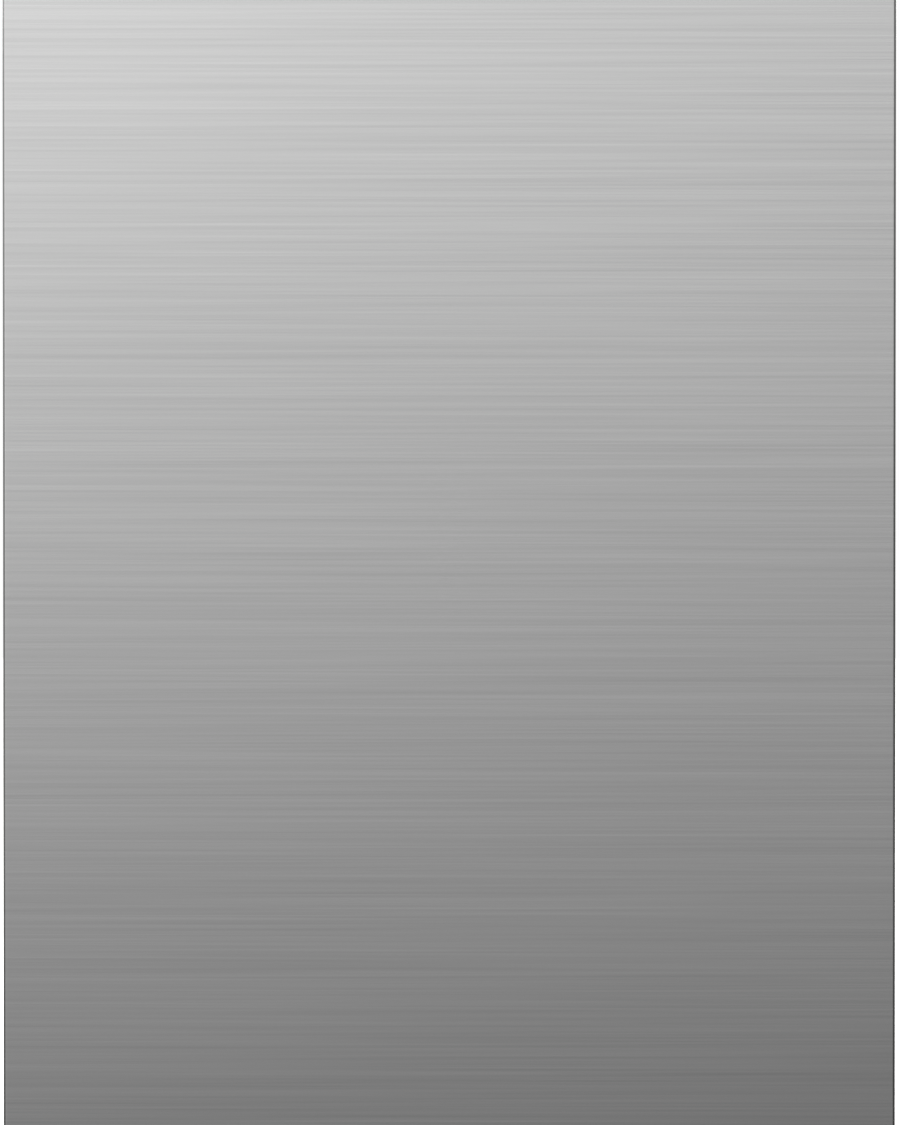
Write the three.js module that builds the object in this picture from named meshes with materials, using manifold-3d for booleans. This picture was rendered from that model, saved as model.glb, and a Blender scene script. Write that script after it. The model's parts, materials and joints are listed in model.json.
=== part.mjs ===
// A 24 inch built in dishwasher with a plain steel door, hidden controls and two racks.
// Millimetres. +Z is up, the door faces -Y, and the origin is on the floor under the middle of the machine.
import * as THREE from "three";
import { mergeVertices } from "three/addons/utils/BufferGeometryUtils.js";
import Module from "manifold-3d";

const wasm = await Module();
wasm.setup();

// ---------------------------------------------------------------- driving dimensions

// Overall
const doorWidth = 604;
const doorHeight = 770;
const depth = 616; // door face to the back of the tub
const doorBottom = 92; // floor to the bottom edge of the door
const tabRise = 2; // worktop tabs above the top edge of the door
const fit = 0.3; // gap between pieces that seat on each other
const slack = 0.6; // gap around pieces that move in a neighbour

// Door
const doorThickness = 58; // face to the sealing rim of the liner
const panelSheet = 1;
const panelBend = 2; // outside radius of the long edges
const panelReturn = 30; // depth of the folded sides
const panelFoot = 18; // depth of the folded bottom edge
const panelLip = 3.5; // depth of the folded top edge
const linerSheet = 1;
const pocketGap = 1.5; // grip scoop's wall to the front of the liner
const fieldRise = 10; // the liner's middle stands into the tub
const fieldInset = 14; // from the tub opening to that middle
const fasciaWall = 2;
const fasciaDrop = 1.5; // fascia top below the door's top edge

// Grip scoop in the top edge
const gripWidth = 190;
const gripDepth = 27;
const gripSpan = 21;

// Hinge and its balance
const hingeInset = 22; // door face to the pivot
const hingeRise = 30; // door's bottom edge to the pivot
const pinRadius = 4;
const armSheet = 2.5;
const armLength = 210;
const stripGap = 3; // strip to the panel in front of it and to the pivot behind it
const ropeRadius = 2;
const drumRadius = 45; // rope's middle line to the pivot
const springRadius = 6;
const springLength = 190;
const springRunUp = 190; // pivot to the front of the spring

// Tub
const sideSpace = 32; // door's side edge to the tub
const tubWall = 1.2;
const tubDrop = 30; // door's top edge to the tub's top
const tubCorner = 28;
const flangeWidth = 14; // above and below the tub
const flangeGap = 0.5; // flange to the side frame
const ledgeRise = 14;
const ledgeWidth = 28;
const wheelStep = 2; // rack track of the tub above the open door
const gasketWidth = 11;
const gasketDepth = 9;
const gasketSpace = 0.7; // gasket to the tub, beside fit
const fieldFoot = 6; // rack ledge to the bottom of the liner's middle
const fieldHead = 8; // tub's ceiling to its top
const linerFoot = 20; // pivot to the liner's bottom edge

// Frame, base and feet
const frameSheet = 1.5;
const frameFromSide = 16; // door's side edge to the frame's outer face
const frameFoot = 36;
const uprightWidth = 30;
const trayFloor = 26;
const traySheet = 3;
const trayWallTop = 96;
const trayFrontInset = 72; // door face to the tray
const trayBackInset = 46; // tub back to the tray
const kickInset = 56; // door face to the toe kick
const kickHeight = 74;
const kickGap = 6; // toe kick to the door's bottom edge
const kickSheet = 1.2;
const footRadius = 22;
const footPad = 8;
const stemRadius = 7;
const stemLength = 52;
const footFromSide = 52;
const footFromTrayEnd = 34;
const postRadius = 16;
const postGap = 6;
const frontPostInset = 62;
const rearPostInset = 30;
const socketWall = 7;
const ventCount = 5;
const ventPitch = 34;
const ventLength = 26;
const blanketThickness = 11;
const crossbarWidth = 40;
const tabInset = 42; // frame's outer face to the middle of a worktop tab
const tabWidth = 30;
const strikeRise = 5.5; // liner's top edge to the strike

// Water system
const hubY = 20; // spray arms, sump and ceiling nozzle share this axis
const sumpRadius = 112;
const sumpWall = 3;
const sumpDepth = 54;
const hubPostRadius = 13;
const sumpLip = 10; // width of the rim that seals under the tub floor
const portReach = 6; // ports beyond the sump's rim
const suctionRise = 14; // bowl's base to the middle of the suction port
const filterRadius = 34;
const filterTurn = -42.4; // degrees round the hub, from +X
const filterShare = 0.728; // of the free room between the hub's post and the tub's hole
const filterDepth = 78;
const lowerArmRise = 22; // tub floor to the lower arm
const upperArmDrop = 38; // upper rack's floor to the upper arm
const dockRise = 16.2; // upper arm to its feed tube
const lowerArmReach = 222;
const upperArmReach = 206;
const armHubRadius = 21;
const armBlade = 30;
const armThickness = 13;
const ductWidth = 44;
const ductDepth = 22;
const pumpRadius = 50;
const pumpLength = 40;
const pumpNeck = 8;
const pumpFromWall = 6; // motor end to the tray's side
const pumpDrop = 4; // tub floor to the pump
const pumpFromHub = 44;
const hoseRun = 42.6; // sump's port to the pump's inlet
const motorRadius = 42;
const impellerRadius = 36;
const drainRadius = 30;
const drainLength = 82;
const drainRise = 14; // filter pocket's bottom to the middle of the drain port
const pocketRoom = 6; // under the filter
const hoseRadius = 11;
const fillRadius = 7;
const floatRadius = 19;

// Racks
const wire = 4;
const weld = 1; // how far crossing wires sink into each other
const wheelRadius = 18;
const wheelWidth = 9;
const axleRadius = 3;
const rackFromField = 18; // liner's middle to the front of a rack
const rackFromDuct = 6;
const upperRackSetback = 10;
const wheelFromWall = 12;
const frontWheelInset = 101; // rack's front to the axle
const rearWheelInset = 60;
const lowerRackFromWall = 27; // tub wall to the rack's side rim
const lowerRackFloor = 212;
const lowerRackHeight = 146;
const tineHeight = 84;
const tinePitch = 36;
const rowTineHeight = 62;
const rowFromSide = 68; // rack's left side to the folding row
const upperRackFromWall = 36;
const upperRackFloor = 502;
const upperRackHeight = 112;
const railHeight = 26;
const railRise = 54; // upper rack's floor to the rails
const basketWidth = 76;
const basketLength = 296;
const basketHeight = 116;
const basketWall = 2;
const shelfWidth = 88;
const shelfLength = 330;
const shelfSheet = 3;

// Dispenser and controls
const dispenserWidth = 224;
const dispenserHeight = 156;
const dispenserZ = 476;
const dispenserProud = 8;
const dispenserDepth = 34;
const cupWidth = 84;
const cupHeight = 70;
const lidTravel = 92;
const lidSheet = 3;
const capRadius = 18;
const buttonLength = 26;
const buttonWidth = 11;
const buttonPitch = 42;
const buttonInset = 60; // liner's side to the first button
const buttonSetback = 3; // buttons behind the middle of the liner's side
const pawlInset = 6; // liner's front edge to the latch pivot
const relayGap = 4; // under the fascia
const buttonTravel = 1.2;

// ---------------------------------------------------------------- planes worked out from them

const halfWidth = doorWidth / 2;
const faceY = -depth / 2;
const backY = depth / 2;
const doorTop = doorBottom + doorHeight;
const overallTop = doorTop + tabRise;

const linerReturn = doorThickness - panelLip - gripSpan - pocketGap;
const hingeY = faceY + hingeInset;
const hingeZ = doorBottom + hingeRise;
const rimY = faceY + doorThickness;
const fieldY = rimY + fieldRise;
const tubFront = rimY + gasketDepth + gasketSpace;
const ledgeZ = hingeZ + (fieldY - hingeY) + wheelStep;
const tubFloor = ledgeZ - ledgeRise;
const tubTop = doorTop - tubDrop;
const tubSide = halfWidth - sideSpace;
const openSide = tubSide - tubWall;
const openTop = tubTop - tubWall;
const flangeTop = tubTop + flangeWidth;
const flangeBottom = ledgeZ - tubWall - flangeWidth;
const linerTop = flangeTop - 1;
const linerBottom = hingeZ + linerFoot;
const armOuter = halfWidth - panelSheet - 1;
const armInner = armOuter - armSheet;
const linerSide = armInner - 1.5;
const fieldSide = openSide - fieldInset;
const fieldBottom = ledgeZ + fieldFoot;
const fieldTop = openTop - fieldHead;
const fasciaTop = doorTop - fasciaDrop;
const fasciaBase = linerTop + fit;
const frameOuter = halfWidth - frameFromSide;
const frameInner = frameOuter - frameSheet;
const flangeSide = frameInner - flangeGap;
const strikeZ = linerTop + strikeRise;
const strikeSheet = 2.3;
const crossbarZ = strikeZ + strikeSheet + fit;
const trayFront = faceY + trayFrontInset;
const trayBack = backY - trayBackInset;
const traySide = frameInner - fit;
const footX = halfWidth - footFromSide;
const frontFootY = trayFront + footFromTrayEnd;
const rearFootY = trayBack - footFromTrayEnd;
const kickY = faceY + kickInset;
const kickTop = doorBottom - kickGap;
const ductBack = backY - tubWall - fit;
const ductFront = ductBack - ductDepth;
const rackFront = fieldY + rackFromField;
const lowerRackBack = ductFront - rackFromDuct;
const lowerRackSide = openSide - lowerRackFromWall;
const upperRackBack = lowerRackBack - upperRackSetback;
const upperRackSide = openSide - upperRackFromWall;
const lowerArmZ = tubFloor + lowerArmRise;
const upperArmZ = upperRackFloor - upperArmDrop;
const dockZ = upperArmZ + armThickness + dockRise;
const railZ = upperRackFloor + railRise;
const ropeZ = hingeZ + drumRadius;
const ropeX = (armInner + armOuter) / 2;
const springX = frameOuter + springRadius + 1.5;
const springFront = hingeY + springRunUp;
const sumpTop = tubFloor - tubWall - fit;
const sumpBase = sumpTop - sumpDepth;
const tubHole = sumpRadius - sumpLip;
const filterReach = hubPostRadius + filterRadius + filterShare * (tubHole - hubPostRadius - 2 * filterRadius);
const suctionZ = sumpBase + suctionRise;
const pumpZ = tubFloor - tubWall - pumpDrop - pumpRadius;
const pumpY = hubY + pumpFromHub;
const motorEnd = -(traySide - traySheet - pumpFromWall);
const hoseStart = -sumpRadius - portReach - fit;
const pumpInlet = hoseStart - hoseRun - fit;
const voluteEnd = pumpInlet - pumpNeck;
const shellEnd = voluteEnd - pumpLength;
const wheelX = openSide - wheelFromWall - wheelWidth;
const frontWheelY = rackFront + frontWheelInset;
const rearWheelY = lowerRackBack - rearWheelInset;

// ---------------------------------------------------------------- shapes and booleans

// A closed three.js geometry as a solid that can be joined and cut.
function solid(geometry) {
  const open = geometry.index ? geometry.toNonIndexed() : geometry;
  const bare = new THREE.BufferGeometry().setAttribute("position", open.getAttribute("position"));
  const merged = mergeVertices(bare, 1e-4);
  const corners = new Uint32Array(merged.index.array);
  const vertices = merged.attributes.position.array;
  const made = new wasm.Manifold(new wasm.Mesh({ numProp: 3, vertProperties: vertices, triVerts: corners }));
  if (made.volume() > 0) return made;
  return new wasm.Manifold(new wasm.Mesh({ numProp: 3, vertProperties: vertices, triVerts: corners.reverse() }));
}

function geometryOf(body) {
  const mesh = body.getMesh();
  const points = new Float32Array(mesh.numVert * 3);
  for (let i = 0; i < mesh.numVert; i += 1) {
    points.set(mesh.vertProperties.subarray(i * mesh.numProp, i * mesh.numProp + 3), i * 3);
  }
  const geometry = new THREE.BufferGeometry();
  geometry.setAttribute("position", new THREE.BufferAttribute(points, 3));
  geometry.setIndex(new THREE.BufferAttribute(new Uint32Array(mesh.triVerts), 1));
  geometry.computeVertexNormals();
  return geometry;
}

const join = (...bodies) => bodies.flat().reduce((a, b) => a.add(b));
const cut = (body, ...tools) => tools.flat().reduce((a, b) => a.subtract(b), body);

function block(x0, x1, y0, y1, z0, z1) {
  const geometry = new THREE.BoxGeometry(x1 - x0, y1 - y0, z1 - z0);
  return solid(geometry.translate((x0 + x1) / 2, (y0 + y1) / 2, (z0 + z1) / 2));
}

// Round bar along an axis: centre is the two other coordinates, in X, Y, Z order.
function rod(axis, radius, centre, from, to, sides = 20) {
  const geometry = new THREE.CylinderGeometry(radius, radius, to - from, sides);
  const middle = (from + to) / 2;
  if (axis === "x") return solid(geometry.rotateZ(-Math.PI / 2).translate(middle, centre[0], centre[1]));
  if (axis === "y") return solid(geometry.translate(centre[0], middle, centre[1]));
  return solid(geometry.rotateX(Math.PI / 2).translate(centre[0], centre[1], middle));
}

// Turned piece: profile pairs are [radius, position along the axis].
function turned(axis, profile, centre, sides = 24) {
  const points = profile.map(([r, h]) => new THREE.Vector2(r, h));
  const geometry = new THREE.LatheGeometry(points, sides);
  if (axis === "x") return solid(geometry.rotateZ(-Math.PI / 2).translate(0, centre[0], centre[1]));
  if (axis === "y") return solid(geometry.translate(centre[0], 0, centre[1]));
  return solid(geometry.rotateX(Math.PI / 2).translate(centre[0], centre[1], 0));
}

// Flat outline pushed along an axis. Its points are [y, z] along x, [x, z] along y and [x, y] along z.
function prism(axis, outline, from, to) {
  const shape = outline instanceof THREE.Shape ? outline : shapeOf(outline);
  const geometry = new THREE.ExtrudeGeometry(shape, {
    depth: to - from,
    bevelEnabled: false,
    curveSegments: 4,
  });
  if (axis === "x") return solid(geometry.rotateX(Math.PI / 2).rotateZ(Math.PI / 2).translate(from, 0, 0));
  if (axis === "y") return solid(geometry.rotateX(Math.PI / 2).translate(0, to, 0));
  return solid(geometry.translate(0, 0, from));
}

function shapeOf(points) {
  return new THREE.Shape(points.map(([a, b]) => new THREE.Vector2(a, b)));
}

const rectangle = (a0, a1, b0, b1) => [[a0, b0], [a1, b0], [a1, b1], [a0, b1]];

// Rectangle with round corners.
function roundedShape(a0, a1, b0, b1, radius) {
  const shape = new THREE.Shape();
  shape.moveTo(a0 + radius, b0);
  shape.lineTo(a1 - radius, b0);
  shape.absarc(a1 - radius, b0 + radius, radius, -Math.PI / 2, 0);
  shape.lineTo(a1, b1 - radius);
  shape.absarc(a1 - radius, b1 - radius, radius, 0, Math.PI / 2);
  shape.lineTo(a0 + radius, b1);
  shape.absarc(a0 + radius, b1 - radius, radius, Math.PI / 2, Math.PI);
  shape.lineTo(a0, b0 + radius);
  shape.absarc(a0 + radius, b0 + radius, radius, Math.PI, Math.PI * 1.5);
  return shape;
}

// Round hose along a smooth line through points.
function hose(points, radius, steps, sides = 10) {
  const path = new THREE.CatmullRomCurve3(points.map((p) => new THREE.Vector3(...p)));
  const section = new THREE.Shape();
  for (let i = 0; i < sides; i += 1) {
    const angle = (i / sides) * Math.PI * 2;
    const place = [radius * Math.cos(angle), radius * Math.sin(angle)];
    if (i === 0) section.moveTo(...place);
    else section.lineTo(...place);
  }
  return solid(new THREE.ExtrudeGeometry(section, { steps, extrudePath: path, bevelEnabled: false }));
}

// ---------------------------------------------------------------- finishes

const finishes = {
  brushedSteel: new THREE.MeshStandardMaterial({ color: 0xb9bbbd, roughness: 0.32, metalness: 1 }),
  tubSteel: new THREE.MeshStandardMaterial({ color: 0xc4c6c7, roughness: 0.22, metalness: 1 }),
  zincSteel: new THREE.MeshStandardMaterial({ color: 0x9aa0a4, roughness: 0.45, metalness: 1 }),
  springSteel: new THREE.MeshStandardMaterial({ color: 0x7c7f82, roughness: 0.35, metalness: 1 }),
  blackPlastic: new THREE.MeshStandardMaterial({ color: 0x1b1c1e, roughness: 0.5, metalness: 0 }),
  greyPlastic: new THREE.MeshStandardMaterial({ color: 0x8d9296, roughness: 0.45, metalness: 0 }),
  whitePlastic: new THREE.MeshStandardMaterial({ color: 0xe6e7e4, roughness: 0.4, metalness: 0 }),
  coatedWire: new THREE.MeshStandardMaterial({ color: 0x7f858b, roughness: 0.4, metalness: 0 }),
  rubber: new THREE.MeshStandardMaterial({ color: 0x232425, roughness: 0.7, metalness: 0 }),
  felt: new THREE.MeshStandardMaterial({ color: 0x4a4c4f, roughness: 0.95, metalness: 0 }),
  rope: new THREE.MeshStandardMaterial({ color: 0xd8d4c8, roughness: 0.8, metalness: 0 }),
  board: new THREE.MeshStandardMaterial({ color: 0x2c5a3c, roughness: 0.5, metalness: 0 }),
};

const machine = new THREE.Group();

function add(name, body, finish) {
  const mesh = new THREE.Mesh(geometryOf(body), finishes[finish]);
  mesh.name = name;
  machine.add(mesh);
  return mesh;
}

// The right piece as modelled, and the left one as its mirror image.
function addPair(name, body, finish) {
  add(`${name}_right`, body, finish);
  add(`${name}_left`, body, finish).scale.x = -1;
}

// ---------------------------------------------------------------- base

function baseTray() {
  const shell = cut(
    block(-traySide, traySide, trayFront, trayBack, trayFloor, trayWallTop),
    block(
      -traySide + traySheet,
      traySide - traySheet,
      trayFront + traySheet,
      trayBack - traySheet,
      trayFloor + traySheet,
      trayWallTop + 1,
    ),
  );
  const socketTop = footPad + stemLength + 4;
  const feet = [[footX, frontFootY], [-footX, frontFootY], [0, rearFootY]];
  const sockets = feet.map((at) => rod("z", stemRadius + socketWall, at, trayFloor, socketTop, 12));
  const bores = feet.map((at) => rod("z", stemRadius + slack, at, trayFloor - 1, socketTop + 1, 12));
  const posts = [-1, 1].flatMap((side) =>
    [trayFront + frontPostInset, trayBack - rearPostInset].map((y) => {
      const x = side * (traySide - postRadius - postGap);
      return rod("z", postRadius, [x, y], trayFloor + 1, sumpTop, 8);
    }),
  );
  const rearCut = block(-traySide + 40, traySide - 40, trayBack - traySheet - 1, trayBack + 1, valveZ - 20, trayWallTop + 1);
  return cut(join(shell, sockets, posts), bores, rearCut);
}

function toeKick() {
  const side = halfWidth - 8;
  const bottom = kickTop - kickHeight;
  const shell = cut(
    block(-side, side, kickY, trayFront - fit, bottom, kickTop),
    block(-side + kickSheet, side - kickSheet, kickY + kickSheet, trayFront,
      bottom + kickSheet, kickTop - kickSheet),
  );
  const slots = spread(-ventPitch * 2, ventPitch * 2, ventCount).map((x) =>
    block(x - ventLength / 2, x + ventLength / 2, kickY - 1, kickY + kickSheet + 1, bottom + 22, bottom + 27),
  );
  return cut(shell, slots);
}

function foot(x, y) {
  const profile = [
    [0, 0],
    [footRadius, 0],
    [footRadius, footPad - 2],
    [footRadius - 4, footPad],
    [stemRadius, footPad],
    [stemRadius, footPad + stemLength],
    [0, footPad + stemLength],
  ];
  return turned("z", profile, [x, y], 12);
}

// Pressed side frame: lower plate with two windows, front upright, and the neck that carries the hinge pin.
function frame() {
  const neckBottom = hingeZ - 1.5;
  const neckTop = hingeZ + 12;
  const plateTop = tubFloor - 4;
  const plateFront = trayFront + 2;
  const uprightBack = tubFront + uprightWidth;
  const outline = [
    [plateFront, frameFoot],
    [trayBack - 10, frameFoot],
    [trayBack - 10, plateTop - 26],
    [trayBack - 36, plateTop],
    [uprightBack + 26, plateTop],
    [uprightBack, plateTop + 26],
    [uprightBack, flangeTop],
    [tubFront + 1.5, flangeTop],
    [tubFront + 1.5, neckTop],
    [hingeY, neckTop],
    [hingeY, neckBottom],
    [plateFront, neckBottom],
  ];
  const windowBottom = trayWallTop + 4;
  const windowTop = plateTop - 12;
  const windows = [
    rectangle(uprightBack + 30, -20, windowBottom, windowTop),
    rectangle(10, trayBack - 50, windowBottom, windowTop),
  ];
  const plate = prism("x", outline, frameInner, frameOuter);
  const openings = windows.map((window) => prism("x", window, frameInner - 1, frameOuter + 1));
  const eye = rod("x", neckTop - hingeZ, [hingeY, hingeZ], frameInner, frameOuter, 16);
  const stiffener = block(tubSide + 1.5, frameInner + 0.5, uprightBack - frameSheet, uprightBack, ledgeZ + 16, flangeTop);
  const anchorY = springFront + springLength;
  const anchor = block(frameOuter - 0.5, springX + springRadius, anchorY + fit, anchorY + fit + 2, ropeZ - 8, ropeZ + 8);
  const anchorFoot = block(frameInner, frameOuter, anchorY - 22, anchorY + 24, plateTop - 4, ropeZ + 10);
  const pinHole = rod("x", pinRadius - 1 + slack / 2, [hingeY, hingeZ], frameInner - 1, frameOuter + 1, 12);
  return cut(join(plate, eye, stiffener, anchor, anchorFoot), pinHole, openings);
}

function hingePin() {
  const inner = frameInner - fit;
  const outer = frameOuter + fit;
  const profile = [
    [0, inner - 2],
    [pinRadius + 1.5, inner - 2],
    [pinRadius + 1.5, inner],
    [pinRadius - 1, inner],
    [pinRadius - 1, outer],
    [pinRadius + 3, outer],
    [pinRadius + 3, outer + 2],
    [pinRadius, outer + 2],
    [pinRadius, armOuter + fit],
    [pinRadius + 2, armOuter + fit],
    [pinRadius + 2, armOuter + fit + 0.5],
    [0, armOuter + fit + 0.5],
  ];
  return turned("x", profile, [hingeY, hingeZ], 12);
}

function topCrossbar() {
  const front = tubFront - 5;
  const back = front + crossbarWidth;
  const side = frameOuter;
  const strap = block(-side, side, front, back, crossbarZ, crossbarZ + frameSheet);
  const backFold = block(-side, side, back - frameSheet, back, flangeTop + 3, crossbarZ + frameSheet);
  const ends = [-1, 1].map((s) =>
    block(Math.min(s * side, s * (side - frameSheet)), Math.max(s * side, s * (side - frameSheet)),
      tubFront + 3, back, flangeTop + fit, crossbarZ + frameSheet),
  );
  const tabs = [-1, 1].map((s) => {
    const x = s * (side - tabInset);
    const half = tabWidth / 2;
    const riserFront = (front + back) / 2 - 2;
    const riser = block(x - half, x + half, riserFront, riserFront + frameSheet, crossbarZ, overallTop);
    const flat = block(x - half, x + half, front + 2, riserFront + frameSheet, overallTop - frameSheet, overallTop);
    return cut(join(riser, flat), rod("z", 2.6, [x, front + 9], overallTop - 3, overallTop + 1, 12));
  });
  return join(strap, backFold, ends, tabs);
}

function strike() {
  const tip = rimY - 14;
  const tongue = block(-11, 11, tip + 3, tubFront + 26, strikeZ, strikeZ + strikeSheet);
  const nose = prism("z", [[-11, tip + 3.5], [-6, tip], [6, tip], [11, tip + 3.5]], strikeZ, strikeZ + strikeSheet);
  const plate = block(-20, 20, tubFront + 6, tubFront + 26, strikeZ, strikeZ + strikeSheet);
  return cut(join(tongue, nose, plate), block(-5, 5, tip + 5, tip + 10, strikeZ - 1, strikeZ + 4));
}

// ---------------------------------------------------------------- tub and its coverings

// Cross-section of the tub: round top corners, and a rack ledge along each side of the floor.
function tubSection(grow, bottom) {
  const side = openSide + grow;
  const top = openTop + grow;
  const radius = tubCorner + grow;
  const ledge = ledgeZ - grow;
  const inner = openSide - ledgeWidth + grow;
  const shape = new THREE.Shape();
  shape.moveTo(-inner, bottom - grow);
  shape.lineTo(inner, bottom - grow);
  shape.lineTo(inner, ledge);
  shape.lineTo(side, ledge);
  shape.lineTo(side, top - radius);
  shape.absarc(side - radius, top - radius, radius, 0, Math.PI / 2);
  shape.lineTo(-side + radius, top);
  shape.absarc(-side + radius, top - radius, radius, Math.PI / 2, Math.PI);
  shape.lineTo(-side, ledge);
  shape.lineTo(-inner, ledge);
  return shape;
}

function tub() {
  const shell = prism("y", tubSection(tubWall, tubFloor), tubFront + 0.5, backY);
  const flange = prism("y", rectangle(-flangeSide, flangeSide, flangeBottom, flangeTop), tubFront, tubFront + tubWall);
  const cavity = prism("y", tubSection(0, tubFloor), tubFront + 8, backY - tubWall);
  const mouth = prism("y", tubSection(0, ledgeZ), tubFront - 1, tubFront + 9);
  const sumpHole = rod("z", tubHole, [0, hubY], tubFloor - 3, tubFloor + 1, 24);
  const floatHole = rod("z", 5, floatPlace(), tubFloor - 3, tubFloor + 1, 12);
  return cut(join(shell, flange), cavity, mouth, sumpHole, floatHole);
}

function floatPlace() {
  return [-(openSide - ledgeWidth - floatRadius - 14), tubFront + 8 + floatRadius + 26];
}

function doorGasket() {
  const inner = openSide + gasketSpace;
  const low = ledgeZ - gasketSpace;
  const high = openTop + gasketSpace;
  const outline = rectangle(-inner - gasketWidth, inner + gasketWidth, low - gasketWidth, high + gasketWidth);
  const front = rimY + gasketSpace - fit;
  const opening = rectangle(-inner, inner, low, high);
  return cut(prism("y", outline, front, front + gasketDepth), prism("y", opening, front - 1, front + gasketDepth + 1));
}

function insulationBlanket() {
  const inner = tubSide + 1.2;
  const outer = inner + blanketThickness;
  const under = tubTop + 1.2;
  const bottom = ledgeZ + 14;
  const start = tubFront + crossbarWidth + 2;
  const skin = roundedShape(-outer, outer, bottom - 60, under + blanketThickness, tubCorner + 10);
  const core = roundedShape(-inner, inner, bottom - 61, under, tubCorner + 1);
  const sleeve = cut(prism("y", skin, start, backY - 8), prism("y", core, start - 1, backY));
  return cut(sleeve, block(-outer - 1, outer + 1, start - 2, backY + 1, bottom - 70, bottom));
}

// ---------------------------------------------------------------- water system

function filterPlace() {
  const turn = THREE.MathUtils.degToRad(filterTurn);
  return [filterReach * Math.cos(turn), hubY + filterReach * Math.sin(turn)];
}

function sump() {
  const top = sumpTop;
  const base = sumpBase;
  const bowl = [
    [0, base],
    [sumpRadius - 34, base],
    [tubHole, top - 4],
    [sumpRadius, top - 4],
    [sumpRadius, top],
    [sumpRadius - 13, top],
    [sumpRadius - 36, base + sumpWall],
    [0, base + sumpWall],
  ];
    const pocket = rod("z", filterRadius + 5, filterPlace(), pocketBottom, top - 4, 16);
  const pocketHollow = rod("z", filterRadius + 2, filterPlace(), pocketBottom + sumpWall, top + 1, 16);
  const post = rod("z", hubPostRadius, [0, hubY], base + 1, lowerArmZ - 2, 12);
  const spigot = rod("z", hubPostRadius - 4, [0, hubY], lowerArmZ - 3, lowerArmZ + 5, 12);
  const suction = rod("x", hoseRadius + 6, [pumpY, suctionZ], hoseStart + fit, -sumpRadius + 45, 12);
  const drain = rod("x", hoseRadius, [drainY, drainZ], filterPlace()[0] + filterRadius, drainX - fit, 12);
  const body = join(turned("z", bowl, [0, hubY], 24), pocket, suction, drain);
  const hollow = turned("z", [
    [0, base + sumpWall],
    [sumpRadius - 36, base + sumpWall],
    [sumpRadius - 13, top + 1],
    [0, top + 1],
  ], [0, hubY], 24);
  return join(cut(body, hollow, pocketHollow), post, spigot);
}

function filterPlate() {
  const low = tubFloor + fit;
  const disc = rod("z", sumpRadius, [0, hubY], low, low + 1.5, 24);
  const postHole = rod("z", hubPostRadius + slack, [0, hubY], low - 1, low + 3, 12);
  const filterHole = rod("z", filterRadius + slack, filterPlace(), low - 1, low + 3, 20);
  return cut(disc, postHole, filterHole);
}

// Twist-out filter: a cup with a rim, a ring of ribs in the open, and a grip bar on top.
function filterCylinder() {
  const low = tubFloor - filterDepth;
  const top = tubFloor + 6;
  const profile = [
    [0, low],
    [filterRadius, low],
    [filterRadius, top],
    [filterRadius - 2, top],
    [filterRadius - 2, low + 2],
    [0, low + 2],
  ];
  const [x, y] = filterPlace();
  const bar = block(x - filterRadius + 1, x + filterRadius - 1, y - 3, y + 3, top - 9, top + 4);
  return join(turned("z", profile, [x, y], 20), bar);
}

// Spray arm: hub and two tapering blades, turned a little so that it sits across the tub.
function sprayArm(reach, z, boreFromBelow) {
  const blade = [
    [-reach, -armBlade * 0.32],
    [-reach + 12, -armBlade / 2],
    [0, -armBlade * 0.62],
    [reach - 12, -armBlade / 2],
    [reach, -armBlade * 0.32],
    [reach, armBlade * 0.32],
    [reach - 12, armBlade / 2],
    [0, armBlade * 0.62],
    [-reach + 12, armBlade / 2],
    [-reach, armBlade * 0.32],
  ];
  const turn = 0.35;
  const turnedBlade = blade.map(([a, b]) => [
    a * Math.cos(turn) - b * Math.sin(turn),
    hubY + a * Math.sin(turn) + b * Math.cos(turn),
  ]);
  const body = prism("z", turnedBlade, z, z + armThickness);
  const hub = rod("z", armHubRadius, [0, hubY], z - 1, z + armThickness + 4, 16);
  const bore = hubPostRadius - 4 + slack;
  const from = boreFromBelow ? z - 2 : z + armThickness - 3;
  const to = boreFromBelow ? z + 7 : z + armThickness + 5;
  return cut(join(body, hub), rod("z", bore, [0, hubY], from, to, 12));
}

// Duct from the sump up the back wall and along the ceiling to the nozzle.
function feedTube() {
  const half = ductWidth / 2;
  const low = tubFloor + fit;
  const high = openTop - 2;
  const footDuct = block(-half, half, hubY + sumpRadius + 4, ductBack, low, low + 12);
  const riser = block(-half, half, ductFront, ductBack, low, high);
  const ceiling = block(-half + 8, half - 8, hubY - 10, ductBack, high - 14, high);
  const dock = rod("y", 12, [0, dockZ], ductFront - 8, ductFront + 2, 16);
  const nozzle = rod("z", 28, [0, hubY], high - 26, high - 1, 20);
  return join(footDuct, riser, ceiling, dock, nozzle);
}

function circulationPump() {
  const profile = [
    [0, motorEnd],
    [motorRadius, motorEnd],
    [motorRadius, shellEnd],
    [pumpRadius, shellEnd],
    [pumpRadius, voluteEnd],
    [hoseRadius + 4, voluteEnd],
    [hoseRadius + 4, pumpInlet],
    [hoseRadius, pumpInlet],
    [hoseRadius, voluteEnd - 3],
    [pumpRadius - 4, voluteEnd - 3],
    [pumpRadius - 4, voluteEnd - 26],
    [8, voluteEnd - 26],
    [8, shellEnd - 20],
    [0, shellEnd - 20],
  ];
  return turned("x", profile, [pumpY, pumpZ], 18);
}

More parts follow.
